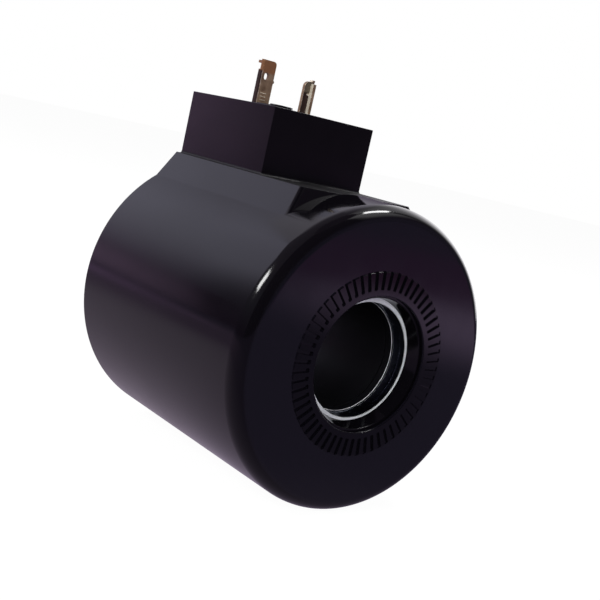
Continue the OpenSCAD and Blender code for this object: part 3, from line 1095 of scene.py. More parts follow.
    def crosses(self, edge: Edge, height: float) -> bool:
        """Tells whether an edge off the rear face crosses a height."""
        one, two = (vert.co for vert in edge.verts)
        return min(one.z, two.z) < height < max(one.z, two.z) and min(one.y, two.y) < self.block_rear - NEAR

    def ahead(self, edge: Edge, height: float) -> bool:
        """Tells whether an edge above a height lies at the saddle's front."""
        return all(vert.co.y < self.saddle_front + NEAR and vert.co.z > height for vert in edge.verts)

    def beside(self, edge: Edge, height: float) -> bool:
        """Tells whether an edge above a height is one of the long ones at the saddle's top."""
        one, two = (vert.co for vert in edge.verts)
        return min(one.z, two.z) > height and abs(one.y - two.y) > self.saddle_long

    def foot_flare(self) -> Object:
        """Shapes the hollow rounding round the connector block's foot from two crossing prisms.

        Returns:
            The flare.
        """
        half, r, inset, over = self.block_half, self.foot, self.foot_inset, self.foot_over
        front, rear = self.block_front, self.block_rear
        low, high = self.saddle_z - self.foot_sunk, self.saddle_z + r
        across: Outline = [(-half - r, low), (half + r, low)]
        across += arc((half + r, high), r, 270.0, 180.0, steps=7)
        across += [(half - inset, high), (inset - half, high)]
        across += arc((-half - r, high), r, 360.0, 270.0, steps=7)
        along: Outline = [(front - r, low), (rear, low), (rear, high), (front + inset, high)]
        along += arc((front - r, high), r, 360.0, 270.0, steps=7)
        points = [Vector((x, front - over, z)) for x, z in across]
        piece = Bench.prism("foot", points, Vector((0.0, rear - front + over, 0.0)))
        points = [Vector((-half - over, y, z)) for y, z in along]
        side = Bench.prism("foot_front", points, Vector((2.0 * (half + over), 0.0, 0.0)))
        Bench.work(piece, side, Join.KEEP)
        return piece

    def connector_block(self) -> Object:
        """Shapes the block that the plug sits on, with round edges.

        Returns:
            The block.
        """
        piece = Bench.block(
            "connector_block",
            (-self.block_half, self.block_front, self.cavity_r - self.lap),
            (self.block_half, self.block_rear, self.block_z),
        )
        Bench.round_edges(piece, self.block_r, segments=4, test=lambda e: self.rises(e, self.saddle_z))
        return piece

    def boss(self) -> Object:
        """Turns the screw boss with its hole.

        Returns:
            The boss.
        """
        root, soft = self.block_z - OVER, self.boss_round
        outline = [(self.insert_r, root), (self.boss_r, root)]
        outline += arc((self.boss_r - soft, self.boss_z - soft), soft, 0.0, 90.0, steps=4)
        outline += [(self.insert_r, self.boss_z)]
        return Bench.lathe("boss", outline, self.boss_sides, upright=Vector((0.0, self.boss_y, 0.0)))

    def rib(self) -> Object:
        """Shapes the low rib from the boss to the rear tab, with soft top edges.

        Returns:
            The rib.
        """
        piece = Bench.block(
            "rib",
            (-self.rib_half, self.boss_y, self.block_z - OVER),
            (self.rib_half, self.rib_end, self.rib_z),
        )
        Bench.round_edges(piece, self.rib_round, segments=3, test=lambda e: self.rises(e, self.block_z))
        return piece

    def hole(self) -> Object:
        """Turns the round pocket that takes the insert and the screw's tip.

        Returns:
            The pocket as a solid.
        """
        top = self.boss_z + OVER
        outline = [(0.0, self.tip_z), (self.tip_r, self.tip_z), (self.tip_r, self.insert_z)]
        outline += [(self.insert_r, self.insert_z), (self.insert_r, top), (0.0, top)]
        return Bench.lathe("hole", outline, self.boss_sides, upright=Vector((0.0, self.boss_y, 0.0)))

    def cavity(self) -> Object:
        """Shapes the round space that the magnetic circuit fills."""
        length = 2.0 * (self.seat_y + self.lap)
        return Bench.rod("cavity", self.segments, self.cavity_r, length, (0.0, 0.0, 0.0))

    def serrations(self) -> Object:
        """Models one slot of the land and spins copies of it round the mouth.

        Returns:
            All the slots as one solid.
        """
        top = -self.half_l - self.land_h
        piece = Bench.block(
            "serrations",
            (self.slot_from, top - OVER, -self.slot_w / 2.0),
            (self.slot_to, top + self.slot_depth, self.slot_w / 2.0),
        )
        Bench.round_edges(piece, self.slot_round, segments=2, test=self.ends_slot)
        with Bench.editing(piece):
            Bench.spin(self.slot_count, FULL_TURN, BORE_AXIS, copies=True)
            Bench.close()
        return piece

    def ends_slot(self, edge: Edge) -> bool:
        """Tells whether an edge runs into the land at a slot's inner end."""
        one, two = (vert.co for vert in edge.verts)
        return max(one.x, two.x) < self.slot_from + NEAR and abs(one.y - two.y) > self.slot_depth

    def pockets(self) -> list[Object]:
        """Makes the spaces in the block for the carrier, the leads and the two tabs.

        Returns:
            The spaces as solids.
        """
        start, end = self.carrier_y
        spaces = [
            Bench.block(
                "pocket",
                (-self.carrier_half, start, self.cavity_r - self.carrier_deep),
                (self.carrier_half, end, self.carrier_z),
            )
        ]
        for name, (left, right), (front, rear) in self.TAB_SLOTS:
            low, high = (left, front, self.carrier_z - OVER), (right, rear, self.block_z + OVER)
            spaces.append(Bench.block(name, low, high))
        return spaces

    def build(self, finishes: Finishes) -> None:
        """Models the moulding, dresses it and lets it stand for its node.

        Args:
            finishes: The coil's finishes.
        """
        piece = self.cylinder()
        for part in (self.saddle(), self.foot_flare(), self.connector_block(), self.rib(), self.boss()):
            Bench.work(piece, part, Join.ADD)
        for part in (self.cavity(), self.hole(), *self.pockets(), self.serrations()):
            Bench.work(piece, part, Join.CUT)
        Bench.finish(piece, self.smooth)
        finishes.put(piece, Slot.MOULDING)
        Piece.register(piece, "housing", Slot.MOULDING)


@dataclass
class PolePlates:
    """The two steel plates at the ends of the bore, with soft edges, a scored line inside and machined faces
    painted near white, partly as a painted highlight.
    """

    bore_r: float = 12.0
    outer_r: float = 26.4
    outside_y: float = 29.0
    thickness: float = 4.0
    bevel: float = 0.3
    bevel_mid: float = 0.1
    score_y: float = 1.8
    score_half: float = 0.08
    score_deep: float = 0.04
    bright_from: float = 0.03
    segments: int = 192
    smooth: float = 28.0

    SIDES = (("front_plate", "front_pole_plate", -1.0), ("rear_plate", "rear_pole_plate", 1.0))

    def outline(self, outer: float, inner: float) -> Outline:
        """Gives a plate's outline between two places along the bore.

        Args:
            outer: The place of the plate's outer face.
            inner: The place of its inner face.

        Returns:
            Pairs of a radius and a place along the bore.
        """
        way = 1.0 if inner > outer else -1.0
        bore, rim, cut, mid = self.bore_r, self.outer_r, self.bevel, self.bevel_mid
        score, half = self.score_y, self.score_half
        return [
            (bore + cut, outer), (rim - cut, outer), (rim, outer + way * cut),
            (rim, inner - way * cut), (rim - cut, inner), (bore + cut, inner),
            (bore + mid, inner - way * mid), (bore, inner - way * cut),
            (bore, outer + way * (score + half)), (bore + self.score_deep, outer + way * score),
            (bore, outer + way * (score - half)), (bore, outer + way * cut), (bore + mid, outer + way * mid),
        ]

    def outside_bore(self, place: Vector) -> bool:
        """Tells whether a face's middle lies outside the bore's wall."""
        return math.hypot(place.x, place.z) > self.bore_r + self.bright_from

    def build(self, finishes: Finishes) -> None:
        """Turns both plates and dresses them.

        Args:
            finishes: The coil's finishes.
        """
        for name, node, side in self.SIDES:
            outer = side * self.outside_y
            piece = Bench.lathe(name, self.outline(outer, outer - side * self.thickness), self.segments)
            finishes.put(piece, Slot.PLATE)
            # Machined faces outside the bore, painted near white and partly diffuse as a painted highlight.
            piece.data.materials.append(finishes.faced_steel_and_highlight)
            Bench.paint(piece, self.outside_bore, material=1)
            Bench.finish(piece, self.smooth)
            Piece.register(piece, node, Slot.PLATE)


@dataclass
class Bobbin:
    """The moulded bobbin, whose tube lines the bore between the plates."""

    inner_r: float = 11.8
    outer_r: float = 13.3
    flange_r: float = 26.2
    half_l: float = 25.0
    flange_t: float = 2.0
    groove_y: float = -23.2
    groove: float = 0.3
    edge: float = 0.1
    lead_x: float = 4.0
    slot_half: float = 1.0
    slot_in: float = 0.5
    start_floor: float = 13.6
    finish_floor: float = 23.0
    segments: int = 192
    smooth: float = 30.0

    def outline(self) -> Outline:
        """Gives the bobbin's outline, with its two flanges and the groove in the bore.

        Returns:
            Pairs of a radius and a place along the bore.
        """
        low, high = self.groove_y, self.groove_y + self.groove
        end, inside = self.half_l, self.half_l - self.flange_t
        bore, tube, flange = self.inner_r, self.outer_r, self.flange_r
        return [
            (bore, -end + self.edge), (bore + self.edge, -end), (flange, -end), (flange, -inside),
            (tube, -inside), (tube, inside), (flange, inside), (flange, end),
            (bore + self.edge, end), (bore, end - self.edge),
            (bore, high), (bore + self.groove, high), (bore + self.groove, low), (bore, low),
        ]

    def build(self, finishes: Finishes) -> None:
        """Turns the bobbin, cuts its lead slots and dresses it.

        Args:
            finishes: The coil's finishes.
        """
        piece = Bench.lathe("bobbin_moulding", self.outline(), self.segments)
        start = self.half_l - self.flange_t - self.slot_in
        for middle, floor in ((-self.lead_x, self.start_floor), (self.lead_x, self.finish_floor)):
            slot = Bench.block(
                "lead_slot",
                (middle - self.slot_half, start, floor),
                (middle + self.slot_half, self.half_l + OVER, self.flange_r + OVER),
            )
            Bench.work(piece, slot, Join.CUT)
        finishes.put(piece, Slot.BOBBIN)
        # Painted highlight: the bore's edges at both ends are painted near white.
        piece.data.materials.append(finishes.painted_edge_highlight)
        Bench.paint(piece, self.on_edge, material=1)
        Bench.finish(piece, self.smooth)
        Piece.register(piece, "bobbin", Slot.BOBBIN)

    def on_edge(self, place: Vector) -> bool:
        """Tells whether a face's middle lies on the bore's edge at either end, which is painted near white as
        a highlight.
        """
        return abs(abs(place.y) - self.half_l + self.edge / 2.0) < NEAR


@dataclass
class Tab:
    """A terminal folded from sheet brass, with a hook, a notch and a hole.

    In the tab's own frame the web lies along x with its middle at 0, and the flange stands on the web's
    left end towards +y. The web and the flange are painted by tests on the middles of their faces.
    """

    name: str
    node: str
    middle_y: float
    width: float
    top: float
    flange: float
    reach: float
    hook_h: float
    notch_h: float
    hole_in: float
    hole_drop: float
    hole_r: float
    facing: float
    rise: float
    hole_slot: float = 0.0
    hole_sides: int = 40
    punch: float = 8.0
    ribs: int = 0
    rib_z: float = 45.35
    rib_step: float = 0.75
    rib_h: float = 0.3
    rib_lean: float = 0.4
    rib_x: Range = (0.9, 2.4)
    rib_proud: float = 0.2
    bump_drop: float = 0.0
    bump_r: float = 0.4
    bump_sides: int = 32
    sheet: float = 0.8
    fold_r: float = 0.5
    corner_r: float = 0.8
    edge_r: float = 0.07
    # Whether the web's side toward the flange is painted darker and the flange's inner side bright as a
    # painted highlight.
    dark_web_and_fold_highlight: bool = False
    # Beyond this share of the bend's radius, next to the web, the bend is painted lighter as a highlight.
    highlight_share: float = 0.45
    foot_z: float = 30.5
    flange_z: float = 32.35
    slack: float = 0.02
    smooth: float = 35.0

    @property
    def left(self) -> float:
        """The place of the flange's outer side, in the tab's own frame."""
        return -self.width / 2.0

    @property
    def back(self) -> float:
        """The place of the web's outer side, in the tab's own frame."""
        return -self.sheet / 2.0

    @property
    def peak(self) -> float:
        """The height of the tab's highest point, on its web or its hook."""
        return self.top + max(self.rise, 0.0)

    def at(self, x: float, y: float, z: float) -> Vector:
        """Places a point of the tab's own frame, turned to face its way."""
        return Vector((x * self.facing, self.middle_y + y * self.facing, z))

    def own(self, place: Vector) -> Vector:
        """Gives a place in the tab's own frame."""
        return Vector((place.x * self.facing, (place.y - self.middle_y) * self.facing, place.z))

    def slab(self, name: str, low: Point, high: Point) -> Object:
        """Makes a block from two corners in the tab's own frame.

        Args:
            name: The block's name.
            low: One corner.
            high: The corner across from it.

        Returns:
            The block.
        """
        corners = list(zip(self.at(*low), self.at(*high)))
        return Bench.block(name, [min(pair) for pair in corners], [max(pair) for pair in corners])

    def fold(self) -> Object:
        """Extrudes the folded sheet's outline to the tab's full height.

        Returns:
            The folded sheet.
        """
        x0, y0, right, r = self.left, self.back, self.width / 2.0, self.fold_r
        x1, y1 = x0 + self.sheet, y0 + self.sheet
        deep = y0 + max(self.flange, self.reach)
        outline = [(right, y0), (right, y1), (x1, y1), (x1, deep), (x0, deep)]
        outline += arc((x0 + r, y0 + r), r, 180.0, 270.0, steps=6)
        points = [self.at(x, y, self.foot_z) for x, y in outline]
        return Bench.prism(self.name, points, Vector((0.0, 0.0, self.peak - self.foot_z)))

    def face(self) -> Object:
        """Extrudes the web's outline, with its round top corner, through the sheet.

        Returns:
            The solid that the folded sheet is trimmed to.
        """
        x0, x1, r = self.left, self.width / 2.0, self.corner_r
        outline = [(x0 - OVER, self.foot_z - OVER), (x1, self.foot_z - OVER)]
        outline += arc((x1 - r, self.top - r), r, 0.0, 90.0, steps=7)
        if self.rise > 0.0:
            outline += [(x0 + self.sheet, self.top), (x0 + self.sheet, self.peak + OVER)]
            outline += [(x0 - OVER, self.peak + OVER)]
        else:
            outline[-1] = (x1 - r, self.top + HAIR)
            outline += [(x0 - OVER, self.top + HAIR)]
        half = self.punch / 2.0
        points = [self.at(x, -half, z) for x, z in outline]
        return Bench.prism("face", points, self.at(0.0, half, 0.0) - self.at(0.0, -half, 0.0))

    def hole_middle(self) -> Vector:
        """Gives the middle of the tab's hole."""
        return self.at(self.hole_in + self.left, 0.0, self.top - self.hole_drop)

    def hole(self) -> Object:
        """Shapes the punch of the tab's hole, drawn out upright where the hole is oblong.

        Returns:
            The punch.
        """
        piece = Bench.rod("hole", self.hole_sides, self.hole_r, self.punch, self.hole_middle())
        middle, half = self.top - self.hole_drop, self.hole_slot / 2.0
        Bench.shift(piece, lambda v: v.z > middle + HAIR, (0.0, 0.0, half))
        Bench.shift(piece, lambda v: v.z < middle - HAIR, (0.0, 0.0, -half))
        return piece

    def rib(self, foot: float) -> Object:
        """Shapes one stamped grip rib, which narrows to a crest.

        Args:
            foot: The height of the rib's lower side.

        Returns:
            The rib.
        """
        lean = self.rib_lean * self.rib_h
        start, end = (self.left + x for x in self.rib_x)
        piece = self.slab("rib", (start, self.back - self.rib_proud, foot), (end, 0.0, foot + self.rib_h))
        middle = foot + self.rib_h / 2.0
        Bench.shift(piece, lambda v: self.on_rib(v) and v.z > middle, (0.0, 0.0, -lean))
        Bench.shift(piece, lambda v: self.on_rib(v) and v.z < middle, (0.0, 0.0, lean))
        return piece

    def bump(self) -> Object:
        """Shapes the small bump on the web's free edge."""
        middle = self.at(self.width / 2.0, 0.0, self.top - self.bump_drop)
        return Bench.rod("bump", self.bump_sides, self.bump_r, self.sheet / 2.0, middle)

    def trims(self) -> tuple[tuple[Point, Point], ...]:
        """Gives the blocks that are cut from the fold to leave the flange, its notch and its hook.

        Returns:
            Two corners of each block, in the tab's own frame.
        """
        near, far = self.left - OVER, self.left + self.sheet + OVER
        y0, y1 = self.back, self.back + self.sheet
        deep = max(self.flange, self.reach) + OVER
        crest, above = self.top + self.rise, self.peak + OVER
        hook_z = crest - self.hook_h
        return (
            ((near, y1, self.foot_z - OVER), (far, deep, self.flange_z)),
            ((near, y0 + self.flange + HAIR, self.foot_z), (far, deep, hook_z)),
            ((near, y1, hook_z - self.notch_h), (far, deep, hook_z)),
            ((near, y0 + self.reach + HAIR, hook_z - HAIR), (far, deep, above)),
            ((near, y1 + HAIR, crest + HAIR), (far, deep, above)),
        )

    def in_hole(self, place: Vector) -> bool:
        """Tells whether a face's middle lies on the hole's wall."""
        off = place - self.hole_middle()
        return math.hypot(off.x, off.z) < self.hole_r + self.slack

    def in_fold(self, place: Vector) -> bool:
        """Tells whether a face's middle lies on the flange's inner side, which is painted bright as a
        highlight.
        """
        return abs(self.own(place).x - self.sheet - self.left) < self.slack

    def on_web(self, place: Vector) -> bool:
        """Tells whether a face's middle lies on the web's side that the flange stands on."""
        return abs(self.own(place).y + self.back) < self.slack

    def on_rib(self, place: Vector) -> bool:
        """Tells whether a place lies on a grip rib, proud of the web."""
        return self.own(place).y < self.back - self.slack

    def on_crest(self, place: Vector) -> bool:
        """Tells whether a face's middle lies on a grip rib's crest or upper side."""
        return self.on_rib(place) and (place.z - self.rib_z) % self.rib_step > self.rib_lean * self.rib_h

    def on_bend(self, place: Vector) -> bool:
        """Tells whether a face's middle lies on the round outside of the bend, beside the flange.

        Args:
            place: The face's middle.

        Returns:
            Whether it lies there.
        """
        spot = self.own(place)
        across, along = spot.x - self.left, spot.y - self.back
        low, high = NEAR, self.fold_r - NEAR
        notch = self.top + self.rise - self.hook_h - self.notch_h
        return spot.z <= notch and low < across < high and low < along < high

    def on_bend_highlight(self, place: Vector) -> bool:
        """Tells whether a face's middle lies on the bend's part next to the web, which is painted lighter as
        a highlight.
        """
        return self.on_bend(place) and self.own(place).x - self.left > self.fold_r * self.highlight_share

    def on_flange(self, place: Vector) -> bool:
        """Tells whether a face's middle lies on the flange's outer side or the bend's dark part."""
        flat = abs(self.own(place).x - self.left) < self.slack
        return flat or (self.on_bend(place) and not self.on_bend_highlight(place))

    def dress(self, piece: Object, finishes: Finishes) -> None:
        """Gives the tab's faces their finishes.

        Args:
            piece: The modelled tab.
            finishes: The coil's finishes.
        """
        finishes.put(piece, Slot.TAB)
        dark = finishes.dark_web if self.dark_web_and_fold_highlight else finishes.dark_flange
        for extra in (finishes.sheared_edge_and_highlight, dark, finishes.bend_highlight):
            piece.data.materials.append(extra)
        if self.dark_web_and_fold_highlight:
            # The web's side toward the flange is painted darker.
            Bench.paint(piece, self.on_web, Coat.DARK)
            # The hole's sheared wall, and a painted highlight on the flange's inner side, take the bright
            # finish.
            Bench.paint(piece, lambda place: self.in_hole(place) or self.in_fold(place), Coat.EDGE)
        else:
            Bench.paint(piece, self.on_flange, Coat.DARK)
            # Painted highlight: the bend's half next to the web is painted lighter.
            Bench.paint(piece, self.on_bend_highlight, Coat.WORN)
            # Painted highlight: the ribs' crests and upper sides take the bright finish.
            Bench.paint(piece, self.on_crest, Coat.EDGE)

    def build(self, finishes: Finishes) -> None:
        """Folds, punches and trims the tab, and dresses it.

        Args:
            finishes: The coil's finishes.
        """
        piece = self.fold()
        Bench.work(piece, self.face(), Join.KEEP)
        Bench.work(piece, self.hole(), Join.CUT)
        for low, high in self.trims():
            Bench.work(piece, self.slab("trim", low, high), Join.CUT)
        for i in range(self.ribs):
            Bench.work(piece, self.rib(self.rib_z + self.rib_step * i), Join.ADD)
        if self.bump_drop:
            Bench.work(piece, self.bump(), Join.ADD)
        self.dress(piece, finishes)
        Bench.soften(piece, self.edge_r, segments=2, material=Coat.EDGE)
        Bench.finish(piece, self.smooth)
        Piece.register(piece, self.node, Slot.TAB)


@dataclass
class Insert:
    """The threaded brass insert in the boss."""

    middle_y: float = 15.5
    low: float = 39.5
    high: float = 46.5
    outer_r: float = 2.1
    waist_r: float = 1.7
    core_r: float = 1.25
    thread_r: float = 1.5
    pitch: float = 0.5
    crest: float = 0.12
    lead_in: float = 0.3
    mouth: float = 0.15
    soft: float = 0.12
    segments: int = 64
    smooth: float = 30.0

    def outline(self) -> Outline:
        """Gives the insert's outline: two collars, a waist and the thread.

        Returns:
            Pairs of a radius and a height.
        """
        low, high, outer, waist, soft = self.low, self.high, self.outer_r, self.waist_r, self.soft
        third = (high - low) / 3.0
        points = [
            (self.thread_r, low), (outer - soft, low), (outer, low + soft),
            (outer, low + third), (waist, low + third), (waist, high - third), (outer, high - third),
            (outer, high - soft), (outer - soft, high), (self.thread_r + self.mouth, high),
        ]
        for i in range(int((high - low) / self.pitch) - 1):
            z = high - self.lead_in - i * self.pitch
            points += [(self.core_r, z), (self.core_r, z - self.crest), (self.thread_r, z - self.pitch / 2.0)]
        return points

    def build(self, finishes: Finishes) -> None:
        """Turns the insert and dresses it.

        Args:
            finishes: The coil's finishes.
        """
        middle = Vector((0.0, self.middle_y, 0.0))
        piece = Bench.lathe("plug_insert", self.outline(), self.segments, upright=middle)
        Bench.finish(piece, self.smooth)
        finishes.put(piece, Slot.INSERT)
        Piece.register(piece, "plug_screw_insert", Slot.INSERT)


class InnerParts:
    """The pieces under the moulding, which keep their solids and get their finishes."""

    SLOTS = {
        "flux_tube": Slot.TUBE,
        "winding": Slot.WIRE,
        "winding_tape": Slot.TAPE,
        "start_lead_barrier": Slot.STRIP,
        "start_lead": Slot.LEAD,
        "finish_lead": Slot.LEAD,
        "lead_splices": Slot.TIN,
        "start_lead_sleeve": Slot.SLEEVE,
        "finish_lead_sleeve": Slot.SLEEVE,
        "solder_joints": Slot.TIN,
        "terminal_carrier": Slot.BOBBIN,
    }

    def build(self, finishes: Finishes) -> None:
        """Dresses every inner node.

        Args:
            finishes: The coil's finishes.
        """
        for name, slot in self.SLOTS.items():
            finishes.put(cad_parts[name], slot)
            LOG.info("%s keeps its solid", name)


class Tone(Enum):
    """Colours of the screens that the moulding mirrors, from dark to bright."""

    NIGHT = (0.026, 0.022, 0.031)
    DARK = (0.07, 0.056, 0.08)
    DUSK = (0.13, 0.11, 0.15)
    GREY = (0.16, 0.14, 0.18)
    SHADE = (0.18, 0.16, 0.20)
    LILAC = (0.30, 0.19, 0.36)
    HEATHER = (0.38, 0.27, 0.43)
    MAUVE = (0.63, 0.42, 0.67)
    HAZE = (0.60, 0.57, 0.66)
    DIM = (0.80, 0.78, 0.82)
    PALE = (0.82, 0.80, 1.0)
    GLOW = (1.2, 1.18, 1.22)
    BRIGHT = (2.6, 2.55, 2.65)


@dataclass(frozen=True)
class Screen:
    """A part of a round studio wall that the moulding mirrors, given by bearings and heights in degrees.

    A bearing is 0 at the back and grows to the right. The paint turns from foot to head over the heights
    in rise, and is dimmed to a share where the bearings in turn begin.
    """

    name: str
    bearings: Range
    heights: Range
    foot: Tone
    head: Tone
    rise: Range = (0.0, 30.0)
    turn: Range = (0.0, 1.0)
    dim: float = 1.0
    radius: float = 1.6

    ROWS, COLUMNS = 16, 24

    def point(self, bearing: float, height: float) -> Vector:
        """Gives the point of the wall at a bearing and a height."""
        b, h = math.radians(bearing), math.radians(height)
        return self.radius * Vector((math.sin(b) * math.cos(h), math.cos(b) * math.cos(h), math.sin(h)))

    def build(self) -> None:
        """Draws an upright line, spins it to the wall's width and paints the wall."""
        first, last = self.bearings
        low, high = self.heights
        points = [self.point(first, low + (high - low) * i / self.ROWS) for i in range(self.ROWS + 1)]
        piece = Bench.line(self.name, points)
        with Bench.editing(piece):
            Bench.spin(self.COLUMNS, math.radians(last - first), UPRIGHT_AXIS)
        piece.data.materials.append(self.paint())
        Studio.mirrored_only(piece)

    def paint(self) -> bpy.types.Material:
        """Mixes the wall's glowing paint.

        Returns:
            The material.
        """
        board = Board(self.name, "ShaderNodeEmission", "Emission")
        split = board.split()
        ends = [self.radius * math.sin(math.radians(v)) for v in self.rise]
        share = board.span(split.outputs["Z"], 0.0, 1.0, *ends)
        board.wire(board.blend(share, self.foot.value, self.head.value), board.shader.inputs["Color"])
        bearing = board.calc("ARCTAN2", split.outputs["X"], split.outputs["Y"])
        ends = [math.radians(v) for v in self.turn]
        board.wire(board.span(bearing, self.dim, 1.0, *ends), board.shader.inputs["Strength"])
        return board.material


@dataclass(frozen=True)
class Pool:
    """A glowing patch of the floor that shiny surfaces mirror, fading out between two radii."""

    at: Point
    radii: Range
    colour: Colour


@dataclass(frozen=True)
class FloorCard:
    """A dim card on the floor with glowing pools, which only shiny surfaces show."""

    height: float
    colour: Colour = (0.11, 0.09, 0.15)
    pools: tuple[Pool, ...] = (
        Pool((-0.25, 0.25, 0.0), (0.15, 0.45), (0.25, 0.18, 0.28)),
        Pool((-0.03, 0.08, 0.0), (0.05, 0.15), (0.43, 0.36, 0.46)),
        Pool((-0.20, 0.40, 0.0), (0.05, 0.13), (0.70, 0.43, 0.82)),
        Pool((0.38, -0.42, 0.0), (0.12, 0.30), (0.20, 0.075, 0.195)),
        Pool((0.248, -0.225, 0.0), (0.02, 0.14), (0.82, 0.60, 0.95)),
    )

    def build(self) -> None:
        """Lays the card and paints its pools."""
        piece = Studio.ground("floor_card", self.height)
        board = Board("floor_card", "ShaderNodeEmission", "Emission")
        glow: Colour | Socket = self.colour
        for pool in self.pools:
            away = board.add("ShaderNodeVectorMath", operation="DISTANCE")
            away.inputs[1].default_value = pool.at
            board.wire(board.place, away.inputs[0])
            glow = board.blend(board.span(away.outputs["Value"], 0.0, 1.0, *pool.radii), pool.colour, glow)
        board.wire(glow, board.shader.inputs["Color"])
        piece.data.materials.append(board.material)
        Studio.mirrored_only(piece)


@dataclass(frozen=True)
class Lamp:
    """A soft rectangular lamp that faces the coil, and that shiny surfaces may show or not."""

    name: str
    place: Point
    size: Range
    watts: float
    mirrored: bool = True

    def build(self) -> None:
        """Hangs the lamp."""
        data = bpy.data.lights.new(self.name, "AREA")
        data.shape = "RECTANGLE"
        data.size, data.size_y = self.size
        data.energy = self.watts
        lamp = bpy.data.objects.new(self.name, data)
        lamp.location = self.place
        lamp.visible_glossy = self.mirrored
        lamp.rotation_euler = Vector(self.place).to_track_quat("Z", "Y").to_euler()
        bpy.context.scene.collection.objects.link(lamp)


@dataclass
class Studio:
    """Floor, white surroundings, mirrored screens, lamps and the camera."""

    floor_z: float = -0.0315
    card_gap: float = 0.00001
    eye: Point = (-0.138535, -0.176741, 0.039307)
    ahead: Point = (0.62374, 0.76767, -0.14706)
    upward: Point = (-0.0800, 0.2499, 0.9649)
    lens: float = 61.85
    sensor: float = 36.0
    clip: float = 0.005
    ambient: float = 0.12
    floor_paint: Colour = (0.08, 0.08, 0.08)
    floor_white: float = 0.965

    GROUND_SIZE = 8.0
    SCREENS = (
        Screen(
            "left_screen", (-100.0, -12.0), (-3.0, 38.0), Tone.LILAC, Tone.PALE,
            rise=(-2.0, 27.0), turn=(-37.0, -29.0), dim=0.20
        ),
        Screen(
            "low_screen", (-37.4, -20.0), (-3.0, 9.0), Tone.MAUVE, Tone.HEATHER,
            rise=(2.0, 9.0), turn=(-37.2, -31.3), dim=0.12, radius=1.55
        ),
        Screen("back_screen", (-12.0, 26.0), (14.0, 38.0), Tone.PALE, Tone.PALE, turn=(8.0, -16.0), dim=0.55),
        Screen("high_screen", (-100.0, -12.0), (38.0, 75.0), Tone.GREY, Tone.GREY),
        Screen("sky_screen", (-12.0, 26.0), (38.0, 75.0), Tone.HAZE, Tone.SHADE, rise=(40.0, 58.0)),
        Screen("crown_screen", (26.0, 44.0), (-3.0, 33.0), Tone.DUSK, Tone.HAZE, rise=(6.0, 30.0)),
        Screen("upper_screen", (26.0, 44.0), (33.0, 75.0), Tone.HAZE, Tone.SHADE, rise=(40.0, 72.0)),
        Screen(
            "window_left", (44.0, 72.0), (-3.0, 75.0), Tone.BRIGHT, Tone.DIM,
            rise=(18.0, 50.0), turn=(44.0, 70.0), dim=0.45
        ),
        Screen(
            "window_right", (72.0, 108.0), (-3.0, 75.0), Tone.BRIGHT, Tone.DIM,
            rise=(18.0, 50.0), turn=(106.0, 82.0), dim=0.08
        ),
        Screen("front_screen", (108.0, 150.0), (-3.0, 33.0), Tone.DARK, Tone.DARK),
        Screen("corner_screen", (150.0, 260.0), (-3.0, 33.0), Tone.NIGHT, Tone.NIGHT),
        Screen(
            "glow_screen", (108.0, 150.0), (33.0, 75.0), Tone.SHADE, Tone.GLOW,
            rise=(33.0, 56.0), turn=(150.0, 138.0), dim=0.15
        ),
        Screen("front_upper", (150.0, 260.0), (33.0, 75.0), Tone.NIGHT, Tone.NIGHT),
        Screen("top_screen", (-180.0, 180.0), (75.0, 89.9), Tone.DARK, Tone.DARK),
    )
    LAMPS = (
        Lamp("overhead_right", (0.44, -0.055, 0.89), (0.18, 0.27), 3.1),
        Lamp("left_rear", (-0.745, 0.41, 0.525), (0.26, 0.20), 3.5),
        Lamp("front_fill", (-0.2, -1.2, 0.35), (0.8, 0.8), 9.0, mirrored=False),
        Lamp("left_fill", (-1.0, -0.3, 0.45), (0.8, 0.8), 6.0, mirrored=False),
        Lamp("top_fill", (-0.1, 0.4, 1.2), (1.0, 1.0), 2.5, mirrored=False),
    )

    def camera(self) -> None:
        """Sets the camera where the photograph was taken from."""
        data = bpy.data.cameras.new("view")
        data.lens = self.lens
        data.sensor_width = self.sensor
        data.sensor_fit = "HORIZONTAL"
        data.clip_start = self.clip
        eye = bpy.data.objects.new("view", data)
        back = -Vector(self.ahead).normalized()
        right = Vector(self.upward).cross(back).normalized()
        up = back.cross(right)
        turn = Matrix((right, up, back)).transposed().to_4x4()
        eye.matrix_world = Matrix.Translation(self.eye) @ turn
        bpy.context.scene.collection.objects.link(eye)
        bpy.context.scene.camera = eye

    def surroundings(self) -> None:
        """Makes the world white where it is seen and plain grey as a light."""
        world = bpy.data.worlds.new("surroundings")
        world.use_nodes = True
        tree = world.node_tree
        tree.nodes.clear()
        output = tree.nodes.new("ShaderNodeOutputWorld")
        mix = tree.nodes.new("ShaderNodeMixShader")
        tree.links.new(self.seen_rays(tree), mix.inputs["Fac"])
        for place, strength in ((1, self.ambient), (2, 1.0)):
            light = tree.nodes.new("ShaderNodeBackground")
            light.inputs["Color"].default_value = (1.0, 1.0, 1.0, 1.0)
            light.inputs["Strength"].default_value = strength
            tree.links.new(light.outputs["Background"], mix.inputs[place])
        tree.links.new(mix.outputs["Shader"], output.inputs["Surface"])
        bpy.context.scene.world = world

    @staticmethod
    def seen_rays(tree: bpy.types.NodeTree) -> Socket:
        """Picks the rays that show a surface to the eye, direct, mirrored or through glass.

        Args:
            tree: The node tree to work in.

        Returns:
            A socket that is 1 for those rays.
        """
        path = tree.nodes.new("ShaderNodeLightPath")
        most = path.outputs["Is Camera Ray"]
        for name in ("Is Glossy Ray", "Is Transmission Ray"):
            node = tree.nodes.new("ShaderNodeMath")
            node.operation = "MAXIMUM"
            tree.links.new(most, node.inputs[0])
            tree.links.new(path.outputs[name], node.inputs[1])
            most = node.outputs[0]
        return most

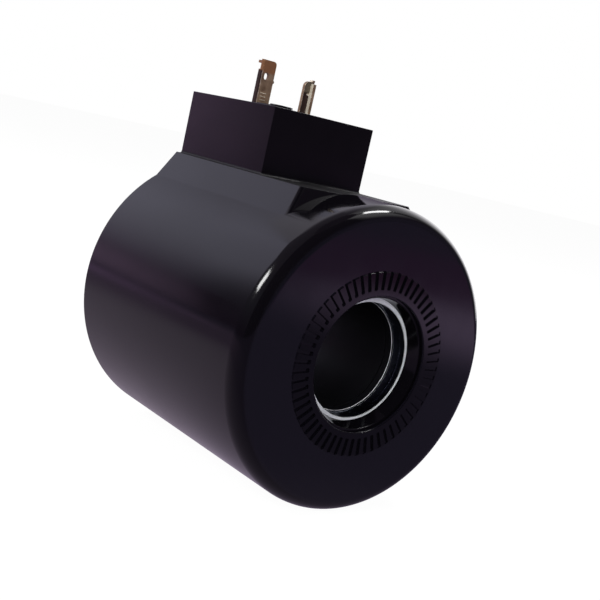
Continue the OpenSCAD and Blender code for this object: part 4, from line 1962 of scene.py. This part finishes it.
    @classmethod
    def ground(cls, name: str, height: float) -> Object:
        """Adds a wide level plane.

        Args:
            name: The plane's name.
            height: Its height.

        Returns:
            The plane.
        """
        Bench.clear()
        bpy.ops.mesh.primitive_plane_add(size=cls.GROUND_SIZE, location=(0.0, 0.0, height))
        piece = bpy.context.object
        piece.name = name
        return piece

    @staticmethod
    def mirrored_only(piece: Object) -> None:
        """Makes a stage piece show only in shiny surfaces.

        Args:
            piece: The stage piece.
        """
        piece.visible_camera = False
        piece.visible_shadow = False
        piece.visible_diffuse = False

    def floor(self) -> None:
        """Lays a pale floor that reads as white and keeps a soft shadow."""
        piece = self.ground("floor", self.floor_z)
        board = Board("pale_floor", "ShaderNodeAddShader", "Shader")
        paint = board.add("ShaderNodeBsdfDiffuse")
        paint.inputs["Color"].default_value = (*self.floor_paint, 1.0)
        white = board.add("ShaderNodeEmission")
        shown = board.span(self.seen_rays(board.tree), 0.0, self.floor_white)
        board.wire(shown, white.inputs["Strength"])
        board.wire(paint.outputs["BSDF"], board.shader.inputs[0])
        board.wire(white.outputs["Emission"], board.shader.inputs[1])
        piece.data.materials.append(board.material)

    def build(self) -> None:
        """Sets up the whole studio."""
        bpy.context.scene.view_settings.view_transform = "Standard"
        self.camera()
        self.surroundings()
        self.floor()
        FloorCard(self.floor_z + self.card_gap).build()
        for thing in (*self.SCREENS, *self.LAMPS):
            thing.build()


def main() -> None:
    """Builds the coil and its studio."""
    logging.basicConfig(level=logging.INFO, format="%(message)s")
    finishes = Finishes()
    rear = Tab(
        "rear_tab", "rear_terminal", middle_y=23.75, width=3.8, top=56.1, flange=1.4, reach=2.0, hook_h=0.6,
        notch_h=1.4, hole_in=1.6, hole_drop=3.7, hole_r=0.65, facing=1.0, rise=-0.3,
        ribs=5, bump_drop=4.6, hole_slot=0.35
    )
    front = Tab(
        "front_tab", "front_terminal", middle_y=7.25, width=2.4, top=52.7, flange=1.65, reach=0.9, hook_h=0.4,
        notch_h=0.4, hole_in=1.15, hole_drop=2.8, hole_r=0.3, facing=-1.0, rise=0.4,
        corner_r=1.2, dark_web_and_fold_highlight=True
    )
    for part in (Housing(), PolePlates(), Bobbin(), rear, front, Insert(), InnerParts()):
        part.build(finishes)
    Studio().build()
    Bench.clear()


if __name__ == "__main__":
    main()
